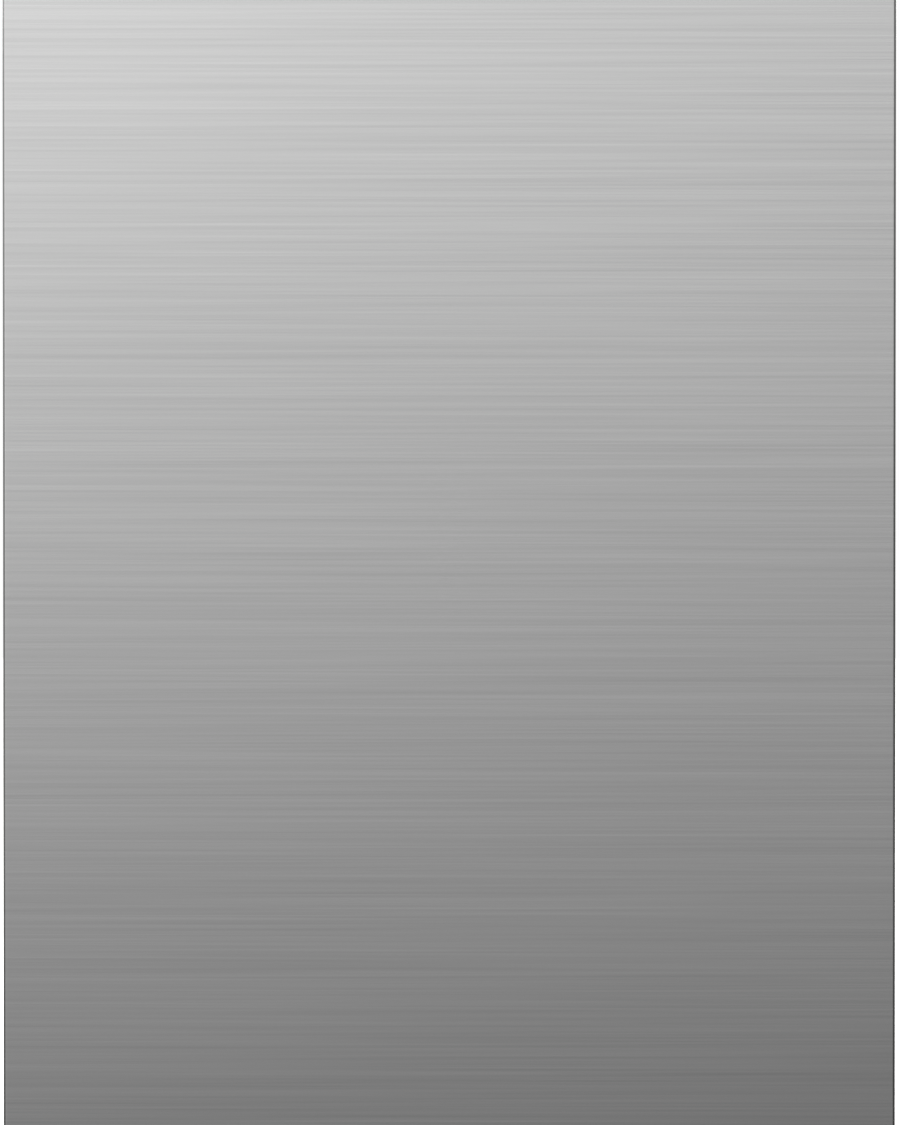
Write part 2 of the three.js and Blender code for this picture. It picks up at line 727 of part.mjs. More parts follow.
function pumpImpeller() {
  const front = voluteEnd - 6;
  const disc = turned("x", [
    [0, shellEnd - 17],
    [4, shellEnd - 17],
    [4, front - 12],
    [impellerRadius, front - 12],
    [impellerRadius, front - 9],
    [9, front - 9],
    [9, front],
    [0, front],
  ], [pumpY, pumpZ], 12);
  const vanes = [0, 1, 2, 3, 4].map((i) => {
    const angle = (i / 5) * Math.PI * 2;
    const vane = new THREE.BoxGeometry(8, impellerRadius - 10, 3);
    vane.translate(front - 5.5, (impellerRadius - 10) / 2 + 7, 0);
    return solid(vane.rotateX(angle).translate(0, pumpY, pumpZ));
  });
  return join(disc, vanes);
}

function pumpHose() {
  const straight = 8;
  const end = pumpInlet + fit;
  const points = [
    [hoseStart, pumpY, suctionZ],
    [hoseStart - straight, pumpY, suctionZ],
    [end + straight, pumpY, pumpZ],
    [end, pumpY, pumpZ],
  ];
  return hose(points, hoseRadius + 3, 8, 10);
}

const pocketBottom = tubFloor - filterDepth - pocketRoom;
const drainY = filterPlace()[1];
const drainZ = pocketBottom + drainRise;
const drainX = sumpRadius + portReach + fit;

function drainPump() {
  const body = turned("x", [
    [0, drainX],
    [drainRadius, drainX],
    [drainRadius, drainX + 34],
    [drainRadius - 4, drainX + 34],
    [drainRadius - 4, drainX + drainLength],
    [0, drainX + drainLength],
  ], [drainY, drainZ - 4], 16);
  const outlet = rod("y", hoseRadius, [drainX + 17, drainZ - 2], drainY + 10, drainY + drainRadius + 18, 12);
  return join(body, outlet);
}

function drainHose() {
  const x = drainX + 17;
  const start = drainY + drainRadius + 18 + fit;
  const points = [
    [x, start, drainZ - 2],
    [x, start + 25, drainZ - 2],
    [x + 14, start + 80, drainZ + 10],
    [x + 22, trayBack - 50, drainZ + 6],
    [x + 22, trayBack + 14, drainZ + 4],
    [x + 22, trayBack + 34, drainZ + 4],
  ];
  return hose(points, hoseRadius, 14);
}

const valveX = -traySide + 62;
const valveZ = trayFloor + 44;

function inletValve() {
  const bodyBlock = block(valveX - 17, valveX + 17, trayBack - 50, trayBack - 12, valveZ - 16, valveZ + 16);
  const thread = rod("y", 13, [valveX, valveZ], trayBack - 13, trayBack + 26, 20);
  const coil = block(valveX - 14, valveX + 14, trayBack - 44, trayBack - 18, valveZ + 15, valveZ + 42);
  const stub = rod("y", fillRadius, [valveX, valveZ], trayBack - 62, trayBack - 49, 12);
  return join(bodyBlock, thread, coil, stub);
}

function fillHose() {
  const start = trayBack - 62 - fit;
  const sumpSide = hubY + sumpRadius * 0.72;
  const points = [
    [valveX, start, valveZ],
    [valveX, start - 22, valveZ],
    [valveX + 40, start - 62, valveZ + 22],
    [valveX + 92, sumpSide + 40, tubFloor - 26],
    [-52, sumpSide + 22, tubFloor - 18],
  ];
  return hose(points, fillRadius, 14, 8);
}

function terminalBox() {
  const x = traySide - 90;
  const y = trayFront + traySheet + 4;
  const z = trayFloor + traySheet + fit;
  const shell = cut(
    block(x - 48, x + 14, y + 60, y + 128, z, z + 52),
    block(x - 46, x + 12, y + 62, y + 126, z + 2, z + 50),
    rod("y", 11, [x - 17, z + 26], y + 59, y + 63, 16),
  );
  return shell;
}

function overfillFloat() {
  const low = tubFloor + fit;
  const profile = [
    [0, low - 22],
    [3.5, low - 22],
    [3.5, low],
    [floatRadius, low],
    [floatRadius, low + 16],
    [floatRadius - 8, low + 24],
    [0, low + 24],
  ];
  return turned("z", profile, floatPlace(), 14);
}

// ---------------------------------------------------------------- door

function doorPanel() {
  const back = faceY + panelReturn;
  const channel = (grow, bend) => {
    const side = halfWidth - grow;
    const front = faceY + grow;
    const shape = new THREE.Shape();
    shape.moveTo(side, back + grow);
    shape.lineTo(-side, back + grow);
    shape.lineTo(-side, front + bend);
    shape.absarc(-side + bend, front + bend, bend, Math.PI, Math.PI * 1.5);
    shape.lineTo(side - bend, front);
    shape.absarc(side - bend, front + bend, bend, -Math.PI / 2, 0);
    return shape;
  };
  const body = prism("z", channel(0, panelBend), doorBottom, doorTop);
  const hollow = prism("z", channel(panelSheet, panelBend - panelSheet), doorBottom - 1, doorTop + 1);
  const inner = halfWidth - panelSheet / 2;
  const footFold = block(-inner, inner, faceY + 0.5, faceY + panelFoot, doorBottom, doorBottom + panelSheet);
  const lip = block(-inner, inner, faceY + 0.5, faceY + panelLip, doorTop - panelSheet, doorTop);
  return join(cut(body, hollow), footFold, lip);
}

function doorLiner() {
  const front = rimY - linerReturn;
  const pan = (g) => [
    block(-linerSide + g, linerSide - g, front - g, rimY - g, linerBottom + g, linerTop - g),
    block(-fieldSide + g, fieldSide - g, rimY - g - 0.5, fieldY - g, fieldBottom + g, fieldTop - g),
  ];
  const opening = dispenserBounds(-3);
  return cut(
    join(pan(0)),
    join(pan(linerSheet)),
    block(opening.x0, opening.x1, rimY - 2, fieldY + 1, opening.z0, opening.z1),
    block(-14, 14, front + 2, rimY - 3, linerTop - 2, linerTop + 1),
  );
}

function dispenserBounds(grow) {
  const half = dispenserWidth / 2 + grow;
  return { x0: -half, x1: half, z0: dispenserZ - grow, z1: dispenserZ + dispenserHeight + grow };
}

const lidX0 = -dispenserWidth / 2 + 10;
const lidX1 = lidX0 + cupWidth + 14;
const lidZ0 = dispenserZ + 10;
const lidZ1 = lidZ0 + cupHeight + 14;
const capPlace = [dispenserWidth / 2 - 34, dispenserZ + dispenserHeight - 34];

function dispenserBody() {
  const frontFace = fieldY + dispenserProud;
  const b = dispenserBounds(0);
  const core = dispenserBounds(-4);
  const face = prism("y", roundedShape(b.x0, b.x1, b.z0, b.z1, 14), fieldY + fit, frontFace);
  const box = block(core.x0, core.x1, fieldY - dispenserDepth, fieldY + 1, core.z0, core.z1);
  const track = block(lidX0 - slack, lidX1 + lidTravel + slack, frontFace - lidSheet - 1, frontFace + 1,
    lidZ0 - slack, lidZ1 + slack);
  const cup = block(lidX0 + 7, lidX1 - 7, fieldY - dispenserDepth + 3, frontFace, lidZ0 + 7, lidZ1 - 7);
  const seat = rod("y", capRadius + slack, capPlace, frontFace - 5, frontFace + 1, 24);
  const well = rod("y", capRadius - 6, capPlace, fieldY - 14, frontFace, 16);
  return cut(join(face, box), track, cup, seat, well);
}

function dispenserLid() {
  const face = fieldY + dispenserProud;
  const plate = block(lidX0, lidX1, face - lidSheet - 0.6, face - 0.6, lidZ0, lidZ1);
  const middle = (lidZ0 + lidZ1) / 2;
  const grip = block(lidX1 - 12, lidX1 - 6, face - 1, face + 2.4, middle - 20, middle + 20);
  return join(plate, grip);
}

function rinseAidCap() {
  const face = fieldY + dispenserProud;
  const disc = turned("y", [
    [0, face - 4.5],
    [capRadius, face - 4.5],
    [capRadius, face + 0.5],
    [0, face + 0.5],
  ], capPlace, 24);
  const stem = rod("y", capRadius - 8, capPlace, face - 14, face - 4, 16);
  const grip = block(capPlace[0] - 13, capPlace[0] + 13, face, face + 4, capPlace[1] - 3, capPlace[1] + 3);
  return join(disc, stem, grip);
}

const buttonNames = ["power", "program", "options", "start"];
const buttonY = rimY - linerReturn / 2 - buttonSetback;

function buttonX(i) {
  return -linerSide + buttonInset + i * buttonPitch;
}

function controlFascia() {
  const side = linerSide;
  const front = faceY + panelSheet + 0.5;
  const back = rimY;
  const underside = fasciaTop - fasciaWall;
  const slab = block(-side, side, front, back, underside, fasciaTop - fit);
  const rearWall = block(-side, side, back - fasciaWall, back, fasciaBase, fasciaTop - fit);
  const pocketFront = faceY + panelLip;
  const pocketBack = pocketFront + gripSpan;
  const half = gripWidth / 2;
  const pocket = prism("z", roundedShape(-half - 2, half + 2, front, pocketBack + 1.2, 7), fasciaTop - gripDepth - 2, underside + 1);
  const scoop = prism("z", roundedShape(-half, half, pocketFront, pocketBack, 6), fasciaTop - gripDepth, fasciaTop + 1);
  const ends = [-1, 1].map((s) =>
    block(Math.min(s * side, s * (side - fasciaWall)), Math.max(s * side, s * (side - fasciaWall)),
      rimY - linerReturn + 3, back, fasciaBase, fasciaTop - fit),
  );
  const holes = buttonNames.map((_, i) => buttonHole(buttonX(i)));
  const display = block(buttonX(4) - 8, buttonX(4) + 40, buttonY - 6, buttonY + 6, underside + 1.2, fasciaTop + 1);
  const strikeSlot = block(-15, 15, back - fasciaWall - 1, back + 1, fasciaBase - 1, strikeZ + strikeSheet + 2.5);
  return cut(join(slab, rearWall, pocket, ends), scoop, holes, display, strikeSlot);
}

function buttonHole(x) {
  const l = buttonLength / 2 + fit;
  const w = buttonWidth / 2 + fit;
  return block(x - l, x + l, buttonY - w, buttonY + w, fasciaTop - fasciaWall - 1, fasciaTop + 1);
}

function button(x) {
  const l = buttonLength / 2;
  const w = buttonWidth / 2;
  const flangeTopZ = fasciaTop - fasciaWall - fit;
  const cap = block(x - l, x + l, buttonY - w, buttonY + w, flangeTopZ - 1, fasciaTop + 0.5);
  const flange = block(x - l - 2, x + l + 2, buttonY - w - 2, buttonY + w + 2, flangeTopZ - 1.5, flangeTopZ);
  const stem = block(x - 2, x + 2, buttonY - 2, buttonY + 2, boardTop + buttonTravel + 0.6, flangeTopZ - 1);
  return join(cap, flange, stem);
}

const boardTop = fasciaBase + 4.2;

function controlBoard() {
  const x0 = buttonX(0) - 24;
  const x1 = buttonX(4) + 42;
  const plate = block(x0, x1, rimY - linerReturn + 6, rimY - fasciaWall - 2, boardTop - 1.6, boardTop);
  const relayTop = fasciaTop - fasciaWall - relayGap;
  const relay = block(x1 - 22, x1 - 4, buttonY - 8, buttonY + 8, boardTop - 0.5, relayTop);
  const chip = block(buttonX(4) + 12, buttonX(4) + 28, buttonY - 6, buttonY + 6, boardTop - 0.5, boardTop + 1.5);
  return join(plate, relay, chip);
}

const pawlPivot = [rimY - linerReturn + pawlInset, linerTop + 2.7];

function latchPawl() {
  const lever = block(-6, 6, pawlPivot[0], rimY - 5, linerTop + 0.9, strikeZ - 0.5);
  const boss = rod("x", 2, pawlPivot, -9, 9, 12);
  return join(lever, boss);
}

function hingeArm() {
  const stripFront = faceY + panelSheet + stripGap;
  const stripBack = hingeY - stripGap;
  const middle = (stripFront + stripBack) / 2;
  const strip = block(armInner, armOuter, stripFront, stripBack, hingeZ - 6, hingeZ + armLength);
  const drum = new THREE.Shape();
  drum.moveTo(hingeY, hingeZ);
  drum.lineTo(hingeY + drumRadius - ropeRadius - 0.7, hingeZ);
  drum.absarc(hingeY, hingeZ, drumRadius - ropeRadius - 0.7, 0, Math.PI / 2);
  const quadrant = prism("x", drum, armInner, armOuter);
  const eye = rod("x", 12, [hingeY, hingeZ], armInner, armOuter, 16);
  const bore = rod("x", pinRadius + 0.25, [hingeY, hingeZ], armInner - 1, armOuter + 1, 12);
  const slots = [70, 120, 170].map((up) =>
    block(armInner - 1, armOuter + 1, middle - 2.5, middle + 2.5, hingeZ + up, hingeZ + up + 14),
  );
  return cut(join(strip, quadrant, eye), bore, slots);
}

function doorSpring() {
  return rod("y", springRadius, [springX, ropeZ], springFront, springFront + springLength, 12);
}

// Rope from the hinge quadrant to the spring, with its end hook.
function springHook() {
  const end = springFront - fit;
  const line = rod("y", ropeRadius, [ropeX, ropeZ], hingeY + 1, end - 10, 8);
  const crimp = block(springX - 2, ropeX + 2.5, end - 16, end, ropeZ - 2.5, ropeZ + 2.5);
  return join(line, crimp);
}

// ---------------------------------------------------------------- racks

// Wire bent to a U in the plane across an axis, open at the top.
function uWire(axis, at, a0, a1, low, high) {
  const outline = [
    [a0, high],
    [a0, low],
    [a1, low],
    [a1, high],
    [a1 - wire, high],
    [a1 - wire, low + wire],
    [a0 + wire, low + wire],
    [a0 + wire, high],
  ];
  return prism(axis, outline, at - wire / 2, at + wire / 2);
}

// Wire loop lying flat, round the outside of a basket.
function rim(x, y0, y1, z) {
  const hole = block(-x + wire, x - wire, y0 + wire, y1 - wire, z - 1, z + wire + 1);
  return cut(block(-x, x, y0, y1, z, z + wire), hole);
}

const spread = (from, to, count) => Array.from({ length: count }, (_, i) => from + ((to - from) * i) / (count - 1));

function basketWires(side, front, back, low, high, across, along) {
  const inset = wire - weld;
  const lower = spread(front + 40, back - 40, across).map((y) =>
    uWire("y", y, -side + inset, side - inset, low, high),
  );
  const upper = spread(-side + 36, side - 36, along).map((x) =>
    uWire("x", x, front + inset, back - inset, low + wire - weld, high),
  );
  const loops = [high - wire, (low + high) / 2].map((z) => rim(side, front, back, z));
  return join(lower, upper, loops);
}

function tine(x, y, low, high) {
  return block(x - wire / 2, x + wire / 2, y - wire / 2, y + wire / 2, low, high);
}

function lowerRack() {
  const low = lowerRackFloor;
  const high = low + lowerRackHeight;
  const basket = basketWires(lowerRackSide, rackFront, lowerRackBack, low, high, 5, 5);
  const tineRows = spread(-lowerRackSide + 36, lowerRackSide - 36, 5).slice(1, 4);
  const count = Math.floor((lowerRackBack - rackFront - 90) / (tinePitch * 1.5)) + 1;
  const tines = tineRows.flatMap((x) =>
    spread(rackFront + 45, lowerRackBack - 45, count).map((y) => tine(x, y, low + wire, low + tineHeight)),
  );
  const axleZ = ledgeZ + wheelRadius;
  const carriers = [-1, 1].flatMap((s) =>
    [frontWheelY, rearWheelY].map((y) => {
      const x0 = lowerRackSide - 2;
      const x1 = wheelX - 1.2;
      const plate = block(Math.min(s * x0, s * x1), Math.max(s * x0, s * x1), y - 14, y + 14, axleZ - 8, low + 86);
      const from = Math.min(s * x0, s * (wheelX + wheelWidth + 1.5));
      const to = Math.max(s * x0, s * (wheelX + wheelWidth + 1.5));
      return join(plate, rod("x", axleRadius, [y, axleZ], from, to, 10));
    }),
  );
  return join(basket, tines, carriers);
}

function wheel(y, side) {
  const x0 = side > 0 ? wheelX : -wheelX - wheelWidth;
  const x1 = x0 + wheelWidth;
  const profile = [
    [axleRadius + slack / 2, x0],
    [wheelRadius - fit, x0],
    [wheelRadius - fit, x1],
    [axleRadius + slack / 2, x1],
    [axleRadius + slack / 2, x0],
  ];
  return turned("x", profile, [y, ledgeZ + wheelRadius], 16);
}

const rowX = -lowerRackSide + rowFromSide;
const rowZ = lowerRackFloor + 2 * wire + 3;

// Folding comb of tines: turns about its own bottom wire.
function tineRow() {
  const half = wire / 2;
  const y0 = rackFront + 32;
  const y1 = lowerRackBack - 32;
  const axle = block(rowX - half, rowX + half, y0, y1, rowZ - half, rowZ + half);
  const count = Math.floor((y1 - y0 - 20) / tinePitch) + 1;
  const tines = spread(y0 + 8, y1 - 8, count).map((y) => tine(rowX, y, rowZ, rowZ + rowTineHeight));
  return join(axle, tines);
}

function cutleryBasket() {
  const x1 = lowerRackSide - 14;
  const x0 = x1 - basketWidth;
  const y0 = (rackFront + lowerRackBack) / 2 - basketLength / 2;
  const y1 = y0 + basketLength;
  const low = lowerRackFloor + 2 * wire - weld + fit;
  const high = low + basketHeight;
  const t = basketWall;
  const cells = [0, 1, 2].map((i) => {
    const from = y0 + t + (i * (basketLength - t)) / 3;
    return block(x0 + t, x1 - t, from, from + (basketLength - t) / 3 - t, low + t, high + 1);
  });
  const middle = (x0 + x1) / 2;
  const stands = [1, 2].map((i) => {
    const y = y0 + t / 2 + (i * (basketLength - t)) / 3;
    return block(middle - 6, middle + 6, y - 4, y + 4, high - 8, high + 24);
  });
  const bar = block(middle - 6, middle + 6, y0 + basketLength / 3 - 4, y1 - basketLength / 3 + 4, high + 18, high + 26);
  return join(cut(block(x0, x1, y0, y1, low, high), cells), stands, bar);
}

const railInnerX = upperRackSide + 11;
const railMiddleX = railInnerX + 5;
const railFixedX = railMiddleX + 6;

function upperRack() {
  const low = upperRackFloor;
  const high = low + upperRackHeight;
  const basket = basketWires(upperRackSide, rackFront, upperRackBack, low, high, 5, 5);
  const rails = [-1, 1].map((s) => {
    const [a, b] = [s * railInnerX, s * (railInnerX + 4.4)].sort((p, q) => p - q);
    const member = block(a, b, rackFront + 4, upperRackBack - 4, railZ - 7, railZ + 7);
    const hangers = spread(rackFront + 60, upperRackBack - 60, 3).map((y) => {
      const [c, d] = [s * (upperRackSide - 2), s * (railInnerX + 1)].sort((p, q) => p - q);
      return block(c, d, y - 16, y + 16, railZ - 6, railZ + 6);
    });
    return join(member, hangers);
  });
  const tube = rod("y", 11, [0, dockZ], hubY, ductFront - 8 - fit, 12);
  const boss = rod("z", 17, [0, hubY], upperArmZ + armThickness + 5, upperRackFloor + wire + 1, 12);
  const spigot = rod("z", hubPostRadius - 4, [0, hubY], upperArmZ + armThickness - 1, upperArmZ + armThickness + 6, 12);
  return join(basket, rails, tube, boss, spigot);
}

function railMiddle() {
  const y0 = rackFront + 2;
  const y1 = upperRackBack - 2;
  const bar = block(railMiddleX, railMiddleX + 5.4, y0, y1, railZ - 10, railZ + 10);
  return cut(bar, block(railMiddleX - 1, railMiddleX + 3.5, y0 - 1, y1 + 1, railZ - 7.6, railZ + 7.6));
}

function railFixed() {
  const y0 = rackFront;
  const y1 = upperRackBack;
  const half = railHeight / 2;
  const outer = openSide - fit;
  const channel = cut(
    block(railMiddleX + 2, outer, y0, y1, railZ - half, railZ + half),
    block(railMiddleX + 1, railFixedX + 1, y0 - 1, y1 + 1, railZ - half + 2, railZ + half - 2),
  );
  const hollow = block(railFixedX + 3, outer - 1.5, y0 - 1, y1 + 1, railZ - half + 3, railZ + half - 3);
  return cut(channel, hollow);
}

const shelfHinge = [-upperRackSide + 14, upperRackFloor + upperRackHeight - 34];

// Folding shelf for cups, hinged along the left side of the upper rack.
function cupShelf() {
  const x0 = shelfHinge[0];
  const z = shelfHinge[1];
  const y0 = (rackFront + upperRackBack) / 2 - shelfLength / 2;
  const plate = block(x0, x0 + shelfWidth, y0, y0 + shelfLength, z - shelfSheet / 2, z + shelfSheet / 2);
  const bead = rod("y", 4, shelfHinge, y0, y0 + shelfLength, 10);
  const slots = spread(y0 + 36, y0 + shelfLength - 36, 5).map((y) =>
    block(x0 + 14, x0 + shelfWidth - 12, y - 18, y + 18, z - 4, z + 4),
  );
  return cut(join(plate, bead), slots);
}

// ---------------------------------------------------------------- assembly

add("base_tray", baseTray(), "blackPlastic");
add("toe_kick", toeKick(), "blackPlastic");
add("foot_front_left", foot(-footX, frontFootY), "blackPlastic");
add("foot_front_right", foot(footX, frontFootY), "blackPlastic");
add("foot_rear", foot(0, rearFootY), "blackPlastic");
addPair("frame", frame(), "zincSteel");
addPair("hinge_pin", hingePin(), "springSteel");
add("top_crossbar", topCrossbar(), "zincSteel");
add("strike", strike(), "zincSteel");

add("tub", tub(), "tubSteel");
add("door_gasket", doorGasket(), "rubber");
add("insulation_blanket", insulationBlanket(), "felt");

add("sump", sump(), "greyPlastic");
add("filter_plate", filterPlate(), "tubSteel");
add("filter_cylinder", filterCylinder(), "greyPlastic");
add("lower_spray_arm", sprayArm(lowerArmReach, lowerArmZ, true), "greyPlastic");
add("upper_spray_arm", sprayArm(upperArmReach, upperArmZ, false), "greyPlastic");
add("feed_tube", feedTube(), "greyPlastic");
add("circulation_pump", circulationPump(), "whitePlastic");
add("pump_impeller", pumpImpeller(), "whitePlastic");
add("pump_hose", pumpHose(), "rubber");
add("drain_pump", drainPump(), "whitePlastic");
add("drain_hose", drainHose(), "rubber");
add("inlet_valve", inletValve(), "whitePlastic");
add("fill_hose", fillHose(), "rubber");
add("overfill_float", overfillFloat(), "greyPlastic");
add("terminal_box", terminalBox(), "zincSteel");

add("door_panel", doorPanel(), "brushedSteel");
add("door_liner", doorLiner(), "tubSteel");
add("control_fascia", controlFascia(), "blackPlastic");
add("control_board", controlBoard(), "board");
buttonNames.forEach((name, i) => add(`button_${name}`, button(buttonX(i)), "blackPlastic"));
add("latch_pawl", latchPawl(), "springSteel");
add("dispenser_body", dispenserBody(), "greyPlastic");
add("dispenser_lid", dispenserLid(), "greyPlastic");
add("rinse_aid_cap", rinseAidCap(), "greyPlastic");
addPair("hinge_arm", hingeArm(), "zincSteel");
addPair("door_spring", doorSpring(), "springSteel");
addPair("spring_hook", springHook(), "rope");

add("lower_rack", lowerRack(), "coatedWire");
add("wheel_front_left", wheel(frontWheelY, -1), "greyPlastic");
add("wheel_front_right", wheel(frontWheelY, 1), "greyPlastic");
add("wheel_rear_left", wheel(rearWheelY, -1), "greyPlastic");
add("wheel_rear_right", wheel(rearWheelY, 1), "greyPlastic");
add("tine_row", tineRow(), "coatedWire");
add("cutlery_basket", cutleryBasket(), "greyPlastic");
add("upper_rack", upperRack(), "coatedWire");
addPair("rail_middle", railMiddle(), "zincSteel");
addPair("rail_fixed", railFixed(), "zincSteel");
add("cup_shelf", cupShelf(), "greyPlastic");

export default machine;
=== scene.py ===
import json
import math

import bmesh
import bpy
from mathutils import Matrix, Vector


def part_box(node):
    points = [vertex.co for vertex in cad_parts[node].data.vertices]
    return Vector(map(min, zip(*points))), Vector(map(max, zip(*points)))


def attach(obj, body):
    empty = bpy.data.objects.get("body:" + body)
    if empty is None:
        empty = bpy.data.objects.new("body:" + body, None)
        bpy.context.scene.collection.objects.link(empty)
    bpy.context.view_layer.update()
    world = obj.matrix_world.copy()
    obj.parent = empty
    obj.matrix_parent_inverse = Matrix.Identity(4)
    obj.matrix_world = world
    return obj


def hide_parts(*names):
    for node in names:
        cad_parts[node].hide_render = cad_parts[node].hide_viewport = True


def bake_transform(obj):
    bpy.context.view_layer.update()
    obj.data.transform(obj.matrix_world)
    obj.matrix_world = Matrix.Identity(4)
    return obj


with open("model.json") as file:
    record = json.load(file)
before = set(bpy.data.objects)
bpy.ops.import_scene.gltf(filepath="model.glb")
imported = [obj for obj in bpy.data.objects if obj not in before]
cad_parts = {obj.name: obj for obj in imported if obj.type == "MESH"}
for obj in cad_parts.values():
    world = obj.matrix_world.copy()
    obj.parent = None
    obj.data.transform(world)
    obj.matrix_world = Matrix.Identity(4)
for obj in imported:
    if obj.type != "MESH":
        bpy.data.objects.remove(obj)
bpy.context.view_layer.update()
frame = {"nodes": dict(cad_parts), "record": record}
nodes = frame["nodes"]
scene = bpy.context.scene


def span(node):
    low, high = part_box(node)
    return {"x0": low.x, "x1": high.x, "y0": low.y, "y1": high.y, "z0": low.z, "z1": high.z,
            "x": (low.x + high.x) / 2, "y": (low.y + high.y) / 2, "z": (low.z + high.z) / 2}


door = span("door_panel")
bodyOf = {n: b for b, names in frame["record"]["behaviour"]["bodies"].items() for n in names}

view = {"distance": 3.0, "pitch": 0.68, "seenHeight": 0.7609, "aside": 0.0005}


def makeCamera():
    data = bpy.data.cameras.new("studioCamera")
    data.sensor_width = 36
    data.lens = data.sensor_width * view["distance"] / view["seenHeight"]
    data.clip_end = 50
    camera = bpy.data.objects.new("studioCamera", data)
    scene.collection.objects.link(camera)
    pitch = math.radians(view["pitch"])
    back = view["distance"] * math.cos(pitch)
    camera.location = (view["aside"], door["y0"] - back, door["z"] + view["distance"] * math.sin(pitch))
    camera.rotation_euler = (math.pi / 2 - pitch, 0, 0)
    scene.camera = camera
    scene.view_settings.view_transform = "Standard"


makeCamera()
print("camera placed")


def put(tree, kind, inputs=None, **settings):  # one node, with its settings and its sockets
    made = tree.nodes.new(kind)
    for key, value in settings.items():
        setattr(made, key, value)
    for key, value in (inputs or {}).items():
        socket = made.inputs[key]
        if isinstance(value, bpy.types.NodeSocket):
            tree.links.new(value, socket)
        else:
            socket.default_value = value
    return made


def remap(tree, value, fromLow, fromHigh, toLow, toHigh, smooth=False):
    made = put(tree, "ShaderNodeMapRange", {"Value": value, "From Min": fromLow, "From Max": fromHigh,
                                            "To Min": toLow, "To Max": toHigh})
    if smooth:
        made.interpolation_type = "SMOOTHSTEP"
    return made.outputs[0]


def product(tree, a, b):
    return put(tree, "ShaderNodeMath", {0: a, 1: b}, operation="MULTIPLY").outputs[0]


dome = {"lowAt": -0.30, "highAt": 0.43, "low": 0.124, "high": 1.47,
        "leftAt": -0.45, "rightAt": 0.322, "left": 1.55, "right": 0.65, "backdrop": 1.0}


def makeDome():  # soft light that is strongest above and to the left of the door
    world = bpy.data.worlds.new("studioDome")
    world.use_nodes = True
    scene.world = world
    tree = world.node_tree
    soft = tree.nodes["Background"]
    way = put(tree, "ShaderNodeTexCoord").outputs["Generated"]
    parts = put(tree, "ShaderNodeSeparateXYZ", {"Vector": way})
    height = remap(tree, parts.outputs["Z"], dome["lowAt"], dome["highAt"], dome["low"], dome["high"], True)
    across = remap(tree, parts.outputs["X"], dome["leftAt"], dome["rightAt"], dome["left"], dome["right"], True)
    soft.inputs["Color"].default_value = (1, 1, 1, 1)
    tree.links.new(product(tree, height, across), soft.inputs["Strength"])
    plain = put(tree, "ShaderNodeBackground", {"Color": (1, 1, 1, 1), "Strength": dome["backdrop"]})
    ray = put(tree, "ShaderNodeLightPath")
    both = put(tree, "ShaderNodeMixShader", {0: ray.outputs["Is Camera Ray"], 1: soft.outputs[0],
            2: plain.outputs[0]})
    tree.links.new(both.outputs[0], tree.nodes["World Output"].inputs["Surface"])


def makeFloor():
    data = bpy.data.meshes.new("studioFloor")
    reach = 12
    data.from_pydata([(-reach, -reach, 0), (reach, -reach, 0), (reach, reach, 0), (-reach, reach, 0)], [],
                     [(0, 1, 2, 3)])
    floor = bpy.data.objects.new("studioFloor", data)
    scene.collection.objects.link(floor)
    floor.location.z = -0.0008
    floor.visible_glossy = False
    paint = bpy.data.materials.new("studioFloorPaint")
    paint.use_nodes = True
    paint.node_tree.nodes["Principled BSDF"].inputs["Base Color"].default_value = (0.86, 0.86, 0.85, 1)
    paint.node_tree.nodes["Principled BSDF"].inputs["Roughness"].default_value = 0.85
    data.materials.append(paint)


def makeFill():  # two broad panels, so that the sides and the back read clearly
    for name, place, size, power in (("leftPanel", (-3.2, 0.6, 2.2), 2.2, 60),
                                     ("rearPanel", (1.6, 3.4, 2.4), 2.4, 70)):
        light = bpy.data.lights.new(name, "AREA")
        light.size = size
        light.energy = power
        lamp = bpy.data.objects.new(name, light)
        scene.collection.objects.link(lamp)
        lamp.location = place
        lamp.rotation_euler = (Vector((0, 0, 0.45)) - Vector(place)).to_track_quat("-Z", "Y").to_euler()
        lamp.visible_camera = False


makeDome()
makeFloor()
makeFill()
print("light and floor ready")


def newFinish(name, metallic, roughness):
    made = bpy.data.materials.new(name)
    made.use_nodes = True
    shader = made.node_tree.nodes["Principled BSDF"]
    shader.inputs["Metallic"].default_value = metallic
    shader.inputs["Roughness"].default_value = roughness
    return made, made.node_tree, shader


def pattern(tree, stretch, detail=2.0, roughness=0.5, offset=(0, 0, 0)):  # noise per metre along each axis
    coords = put(tree, "ShaderNodeTexCoord").outputs["Object"]
    place = put(tree, "ShaderNodeMapping", {"Vector": coords, "Scale": stretch, "Location": offset})
    return put(tree, "ShaderNodeTexNoise", {"Vector": place.outputs[0], "Scale": 1.0, "Detail": detail,
                                            "Roughness": roughness}).outputs["Fac"]


def blendColours(tree, factor, a, b):
    return put(tree, "ShaderNodeMix", {"Factor": factor, "A": (*a, 1), "B": (*b, 1)},
               data_type="RGBA").outputs["Result"]


def link(tree, value, shader, socket):
    tree.links.new(value, shader.inputs[socket])


def relief(tree, shader, height, strength, depth):
    bump = put(tree, "ShaderNodeBump", {"Height": height, "Strength": strength, "Distance": depth})
    link(tree, bump.outputs[0], shader, "Normal")


def shade(colour, factor):
    return tuple(c * factor for c in colour)


steelLook = {"colour": (0.62, 0.62, 0.62), "roughness": 0.205, "along": 4.0, "fine": 900.0, "coarse": 330.0,
             "contrast": 0.085, "anisotropy": 0.95}


